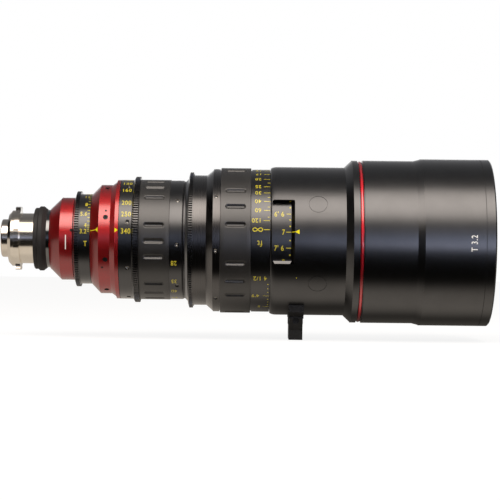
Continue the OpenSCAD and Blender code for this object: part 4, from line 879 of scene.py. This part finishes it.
@dataclass
class FocusAssembly:
    """The focus ring with its gear, sleeve, grip and distance scales, and the drum and carriage inside."""

    grip: Grip = Grip("focus_grip", "focus_ring", 4.3, -3.0)
    screws: Screws = Screws("focus_screws", "focus_ring", ((195.4, -8.5, 64.0, 68.8),))
    ring: Wall = Wall("focus_ring", ((228.5, 69.2), (246.7, 69.2)))
    number_end: float = 238.7
    number_height: float = 4.3
    digit_width: float = 3.5
    tick_x: float = 243.6
    tick_length: float = 6.0
    tick_width: float = 0.55
    signs: tuple[Mark, ...] = (
        Loop(235.0, 8.4, 9.2, 0.85), Bar(243.6, 8.4, 6.0, 0.7),
        Figure("4 1/2", 237.8, -31.5, 4.5, turn=180, spread=0.9),
        Figure("ft", 237.1, -2.6, 5.8, turn=180, spread=0.9, weight=0.0))
    feet: Labels = (
        ("120", 15.7), ("60", 24.2), ("40", 32.3), ("30", 40.7), ("25", 47.7), ("20", 57.9), ("17", 67.0),
        ("15", 77.0), ("13", 88.0), ("11", 101.0), ("10", 113.0), ("9", 126.0), ("8", 142.0), ("7", 160.0),
        ("6", 184.0), ("5", 214.0), ("4'9", -49.7), ("5", -66.3))
    half_x: float = 245.4
    half_length: float = 2.4
    halves: tuple[float, ...] = (18.5, 27.2, 36.1, 52.4)
    dot_x: float = 245.2
    dot_radius: float = 0.6
    dots: tuple[float, ...] = (-37.0, -41.5, -45.6, -54.1, -58.1, -62.7)
    # The scale behind the cover's window
    inner: Wall = Wall("focus_ring", ((247.1, 66.4), (275.0, 66.4)))
    window_end: float = 260.8
    window_digit: float = 2.8
    window_height: float = 5.1
    window: Labels = (
        ("6' 6", 22.2), ("7", 6.9), ("7' 6", -6.1), ("8", -17.6), ("6", 40.0), ("9", -34.0), ("10", -52.0))
    window_tick_x: float = 264.2
    window_tick_length: float = 4.6
    window_tick_width: float = 0.65
    window_dot_x: float = 265.6
    window_dot_radius: float = 0.75
    window_dots: tuple[float, ...] = (17.1, 11.7, 0.1, -11.9, -22.0, -28.0, 28.0, 34.0)

    def outer_marks(self) -> list[Mark]:
        """Marks of the outer scale: the signs, then numbers that end on one line and their ticks, halves and dots.

        Returns:
            The marks.
        """
        marks: list[Mark] = [*self.signs]
        for text, angle in self.feet:
            middle = self.number_end - len(text) * self.digit_width / 2
            marks.append(Figure(text, middle, angle, self.number_height, turn=180, spread=0.95))
            marks.append(Bar(self.tick_x, angle, self.tick_length, self.tick_width))
        marks += [Bar(self.half_x, angle, self.half_length, self.tick_width) for angle in self.halves]
        return marks + [Dot(self.dot_x, angle, self.dot_radius) for angle in self.dots]

    def window_marks(self) -> list[Mark]:
        """Marks of the scale behind the window: numbers, ticks and dots.

        Returns:
            The marks.
        """
        marks: list[Mark] = [
            Figure(text, self.window_end - len(text) * self.window_digit / 2, angle, self.window_height)
            for text, angle in self.window]
        marks += [Bar(self.window_tick_x, angle, self.window_tick_length, self.window_tick_width)
                  for _, angle in self.window]
        return marks + [Dot(self.window_dot_x, angle, self.window_dot_radius) for angle in self.window_dots]

    def build(self) -> None:
        """Dresses the focus section and paints the outer scale and the one behind the window."""
        dress(TOOTHED, "focus_gear")
        dress(BLACK, "distance_ring", "window_scale_ring")
        dress(BRUSHED, "focus_sleeve")
        self.screws.build()
        self.grip.build()
        dress(BARE, "focus_drum", "focus_carriage")
        dress(INNER_GLASS, "focus_glass")
        paint("distance_numbers", self.ring, self.outer_marks(), FILL)
        paint("window_numbers", self.inner, self.window_marks(), FILL)


@dataclass(frozen=True)
class Sill:
    """The broken lower edge of the cover's window: a straight strip that leans back and catches the key."""

    reach: tuple[Span, ...] = ((251.2, 265.6), (249.7, 267.2), (249.7, 267.2), (251.2, 265.6))
    section: tuple[Span, ...] = ((-68.2, -21.85), (-66.8, -19.2), (-64.4, -19.0), (-64.4, -22.6))

    def mesh(self) -> Mesh:
        """Carries the section of y and z along the axis, with slanted ends, and closes both.

        Returns:
            Points in metres and faces.
        """
        points = np.concatenate([np.column_stack([x, np.array(self.section)]) for x in np.array(self.reach).T]) * MM
        near, far = np.arange(len(points)).reshape(2, -1)
        sides = np.stack([near, np.roll(near, -1), np.roll(far, -1), far], 1)
        return points, loops(sides, near[None], far[None])


@dataclass
class FrontBarrel:
    """The fixed cover with its window, the flare with the red stripe, and the front with its glass."""

    cover: Wall = Wall("housing", ((270.1, 72.0), (318.8, 72.0)))
    bevel: Wall = Wall("housing", ((266.9, 68.0), (270.1, 72.0)))
    section: Wall = Wall("housing", ((392.3, 81.0), (453.5, 81.0)))
    sill: Sill = Sill()
    index: tuple[Mark, ...] = (Arrow(274.3, 6.7, -4.1, 4.4), Dot(272.0, -29.2, 0.4))
    index_line: Bar = Bar(268.6, 6.7, 3.0, 0.6)
    # A painted shadow line near the section's front, where two rings meet
    shadow_line: ShadowLine = ShadowLine(449.8, 0.45)
    stop: Figure = Figure("T 3.2", 438.1, -0.6, 6.0, turn=90, spread=0.81, weight=0.008)

    def build(self) -> None:
        """Dresses the fixed front and paints its index and its stop."""
        dress(BLACK, "cover", "cover_plugs", "front_adapter", "front_barrel", "front_section", "front_ring")
        dress(STRIPE, "stripe_ring")
        dress(MATT, "front_cell")
        dress(FRONT_GLASS, "front_glass")
        sill = piece("window_sill", self.sill.mesh(), BLACK.build())
        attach(sill, "housing")
        log.info("set %s", sill.name)
        paint("focus_index", self.cover, self.index, YELLOW)
        paint("focus_index_line", self.bevel, [self.index_line], YELLOW)
        # Painted shade: a dark band that stands for the shadow in the joint
        paint("front_painted_shadow_line", self.section, [self.shadow_line], MATT)
        paint("front_stop", self.section, [self.stop], WHITE)


@dataclass
class Foot:
    """The support foot under the cover, with its screws."""

    nodes: tuple[str, ...] = ("foot_saddle", "foot_block", "foot_screws")

    def build(self) -> None:
        """Dresses the foot."""
        dress(MATT, *self.nodes)


@dataclass
class Studio:
    """A white room with a pale floor, a soft key over the camera and what polished metal sees of them.

    A zone holds two places and the two levels there, and what it sets runs softly from one to the other.
    """

    camera_place: tuple[float, float, float] = (0.2279, -1.95, -0.0092)
    focal_length: float = 143.85
    roll: float = 0.6
    clip: Span = (0.05, 20.0)
    # The key, in metres, degrees and watts per square metre and steradian
    key_tint: str = "fff6ee"
    key_radiance: float = 3.0
    key_size: Span = (1.8, 1.0)
    key_elevation: float = 54.0
    key_distance: float = 1.3
    # What gloss sees of the room: degrees above the camera's side, a level and a tint
    bands: tuple[tuple[float, float, str], ...] = (
        (-180, 0.62, "eadfd2"), (-60, 0.62, "eadfd2"), (-50, 0.04, "8e98b0"), (-12, 0.3, "a9b3cf"),
        (-5, 4.2, "a9b3cf"), (3, 4.2, "a9b3cf"), (12, 2.2, "b4b6c2"), (20, 0.7, "c8c4c4"), (28, 0.4, "c8c4c4"),
        (35, 3.3, "fff4ea"), (46, 4.5, "fff4ea"), (60, 4.6, "fff4ea"), (73, 3.2, "fff4ea"), (80, 0.25, "f0ece8"),
        (100, 0.16, "e8e8ec"), (140, 0.22, "e8e8ec"), (162, 0.3, "e8e8ec"), (168, 0.9, "ffffff"),
        (180, 0.9, "ffffff"))
    brightest: float = 8.0
    # How that falls off towards the ends of the lens's axis, below and above the degrees of key_from
    low_fall: Zone = (0.2, 0.42, 8.0, 0.28)
    key_fall: Zone = (0.62, 0.82, 8.0, 0.28)
    low_rise: Zone = (0.0, 0.09, 0.02, 1.0)
    left_rise: Zone = (-0.105, -0.08, 0.2, 0.0)
    key_from: Span = (23.0, 31.0)
    room_tint: str = "fffaf4"
    room_level: float = 0.42
    # The floor: its paper, what the camera sees of it and, zone by zone in metres, the glow that gloss sees of it
    floor_z: float = -0.0956
    floor_reach: float = 4.0
    paper: str = "cbc9c6"
    shown_glow: float = 0.86
    shown_grey: float = 0.2
    narrow_shift: Zone = (0.02, 0.04, 0.045, 0.0)
    near: Zone = (-0.112, -0.068, 0.02, 0.86)
    # A painted shadow: the floor's glow to gloss is dimmed right under the wide front
    under: Zone = (-0.05, -0.014, 0.0, 0.88)
    wide: Zone = (0.1, 0.28, 0.2, 1.0)
    far: Zone = (-0.76, -0.51, 5.2, 0.0)
    side: Zone = (0.29, 0.56, 0.02, 1.35)
    near_tint: str = "eadfd2"
    far_tint: str = "b2b6ca"

    def room(self) -> None:
        """Makes the world: white to the camera and through glass, banded to gloss, and plain grey to the rest.

        The bands follow the angle atan2(z, -y) of the direction, and fall off towards both ends of the lens's axis.
        """
        bpy.context.scene.world = bpy.data.worlds.new("room")
        tree = emptied(bpy.context.scene.world)
        way = add(tree, "TexCoord").outputs["Generated"]
        x, y, z = add(tree, "SeparateXYZ", (way,)).outputs
        front = add(tree, "Math", (y, -1.0), operation="MULTIPLY")
        angle = add(tree, "Math", (z, front), operation="ARCTAN2")
        turn = add(tree, "MapRange", (angle, -math.pi, math.pi))
        seen = add(tree, "ValToRGB", (turn,))
        colours = [np.array(linear(tint)[:3]) * level / self.brightest for _, level, tint in self.bands]
        grade(seen.color_ramp.elements, [((band[0] + 180) / 360, (*colour.tolist(), 1.0))
                                         for band, colour in zip(self.bands, colours)])
        end = add(tree, "Math", (x,), operation="ABSOLUTE")
        low, key, rise, left = (add(tree, "MapRange", (value, *zone), interpolation_type="SMOOTHSTEP")
                                for value, zone in ((end, self.low_fall), (end, self.key_fall),
                                                    (x, self.low_rise), (x, self.left_rise)))
        ends = add(tree, "Math", (rise, left), operation="MAXIMUM")
        low = add(tree, "Math", (low, ends), operation="MULTIPLY")
        above = add(tree, "MapRange", (angle, *(math.radians(degrees) for degrees in self.key_from)))
        fall = add(tree, "Mix", {0: above, 2: low, 3: key})
        gloss = add(tree, "Background", (seen, fall))
        plain = add(tree, "Background", (linear(self.room_tint), self.room_level))
        white = add(tree, "Background", (linear("ffffff"), 1.0))
        add(tree, "OutputWorld", (sort_rays(tree, plain, gloss, white),))

    def floor(self) -> None:
        """Makes the floor: white to the camera with the lens's shadow, and zoned to gloss.

        Gloss sees a glow painted on it: pale beside the lens, darkened right under the wide front by a painted shadow,
        dark before it and cool farther out.
        """
        # Seamless paper, matt and pale: it takes the lens's real shadow to the camera and has no shine of its own;
        # gloss sees a painted glow on it instead, with a painted shadow under the wide front
        material = bpy.data.materials.new("paper_white_seamless")
        tree = emptied(material)
        place = add(tree, "TexCoord").outputs["Object"]
        x, y, _ = add(tree, "SeparateXYZ", (place,)).outputs
        shift = add(tree, "MapRange", (x, *self.narrow_shift))
        shifted = add(tree, "Math", (y, shift), operation="ADD")
        near, under, wide, far, side = (
            add(tree, "MapRange", (value, *zone), interpolation_type="SMOOTHSTEP") for value, zone in (
                (shifted, self.near), (y, self.under), (x, self.wide), (y, self.far), (x, self.side)))
        # Painted shadow: the glow that gloss sees is dimmed under the wide front
        painted_floor_shadow = add(tree, "Math", (under, wide), operation="MULTIPLY")
        kept = add(tree, "Math", (1.0, painted_floor_shadow), operation="SUBTRACT")
        glare = add(tree, "Math", (near, kept), operation="MULTIPLY")
        band = add(tree, "Math", (far, side), operation="MULTIPLY")
        paper = add(tree, "BsdfDiffuse", (linear(self.paper),))
        glow = add(tree, "Emission", (linear("ffffff"), self.shown_glow))
        grey = add(tree, "BsdfDiffuse", ((self.shown_grey, self.shown_grey, self.shown_grey, 1.0),))
        shown = add(tree, "AddShader", (glow, grey))
        warm = add(tree, "Emission", (linear(self.near_tint), glare))
        cool = add(tree, "Emission", (linear(self.far_tint), band))
        sheen = add(tree, "AddShader", (warm, cool))
        add(tree, "OutputMaterial", (sort_rays(tree, paper, sheen, shown),))
        corners = np.array([[-1, -1], [1, -1], [1, 1], [-1, 1]]) * self.floor_reach
        points = np.column_stack([corners, np.full(4, self.floor_z)])
        piece("floor", (points, [(0, 1, 2, 3)]), material)

    def key(self) -> None:
        """Hangs the soft key above the camera: power = pi * area * radiance."""
        lamp = bpy.data.lights.new("key", "AREA")
        lamp.shape = "RECTANGLE"
        lamp.size, lamp.size_y = self.key_size
        lamp.energy = math.pi * lamp.size * lamp.size_y * self.key_radiance
        lamp.color = linear(self.key_tint)[:3]
        holder = bpy.data.objects.new("key", lamp)
        bpy.context.scene.collection.objects.link(holder)
        lift = math.radians(self.key_elevation)
        way = Vector((0.0, -math.cos(lift), math.sin(lift)))
        holder.location = Vector((self.camera_place[0], 0.0, 0.0)) + way * self.key_distance
        holder.rotation_euler = (-way).to_track_quat("-Z", "Y").to_euler()
        holder.visible_glossy = False
        holder.visible_camera = False

    def camera(self) -> None:
        """Sets the camera level before the lens, turned by the portrait's small roll."""
        lens = bpy.data.cameras.new("camera")
        lens.lens = self.focal_length
        lens.clip_start, lens.clip_end = self.clip
        holder = bpy.data.objects.new("camera", lens)
        holder.location = self.camera_place
        holder.rotation_euler = (math.pi / 2, -math.radians(self.roll), 0.0)
        bpy.context.scene.collection.objects.link(holder)
        bpy.context.scene.camera = holder

    def build(self) -> None:
        """Sets up the camera, the room, the floor and the key."""
        bpy.context.scene.view_settings.view_transform = "Standard"
        self.camera()
        self.room()
        self.floor()
        self.key()
        log.info("set up the studio")


def main() -> None:
    """Builds the studio and each part of the lens in order."""
    logging.basicConfig(level=logging.INFO, format="%(name)s: %(message)s")
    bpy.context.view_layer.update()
    Studio().build()
    for assembly in (RearEnd, IrisAssembly, ZoomAssembly, FocusAssembly, FrontBarrel, Foot):
        assembly().build()
        log.info("built %s", assembly.__name__)


if __name__ == "__main__":
    main()
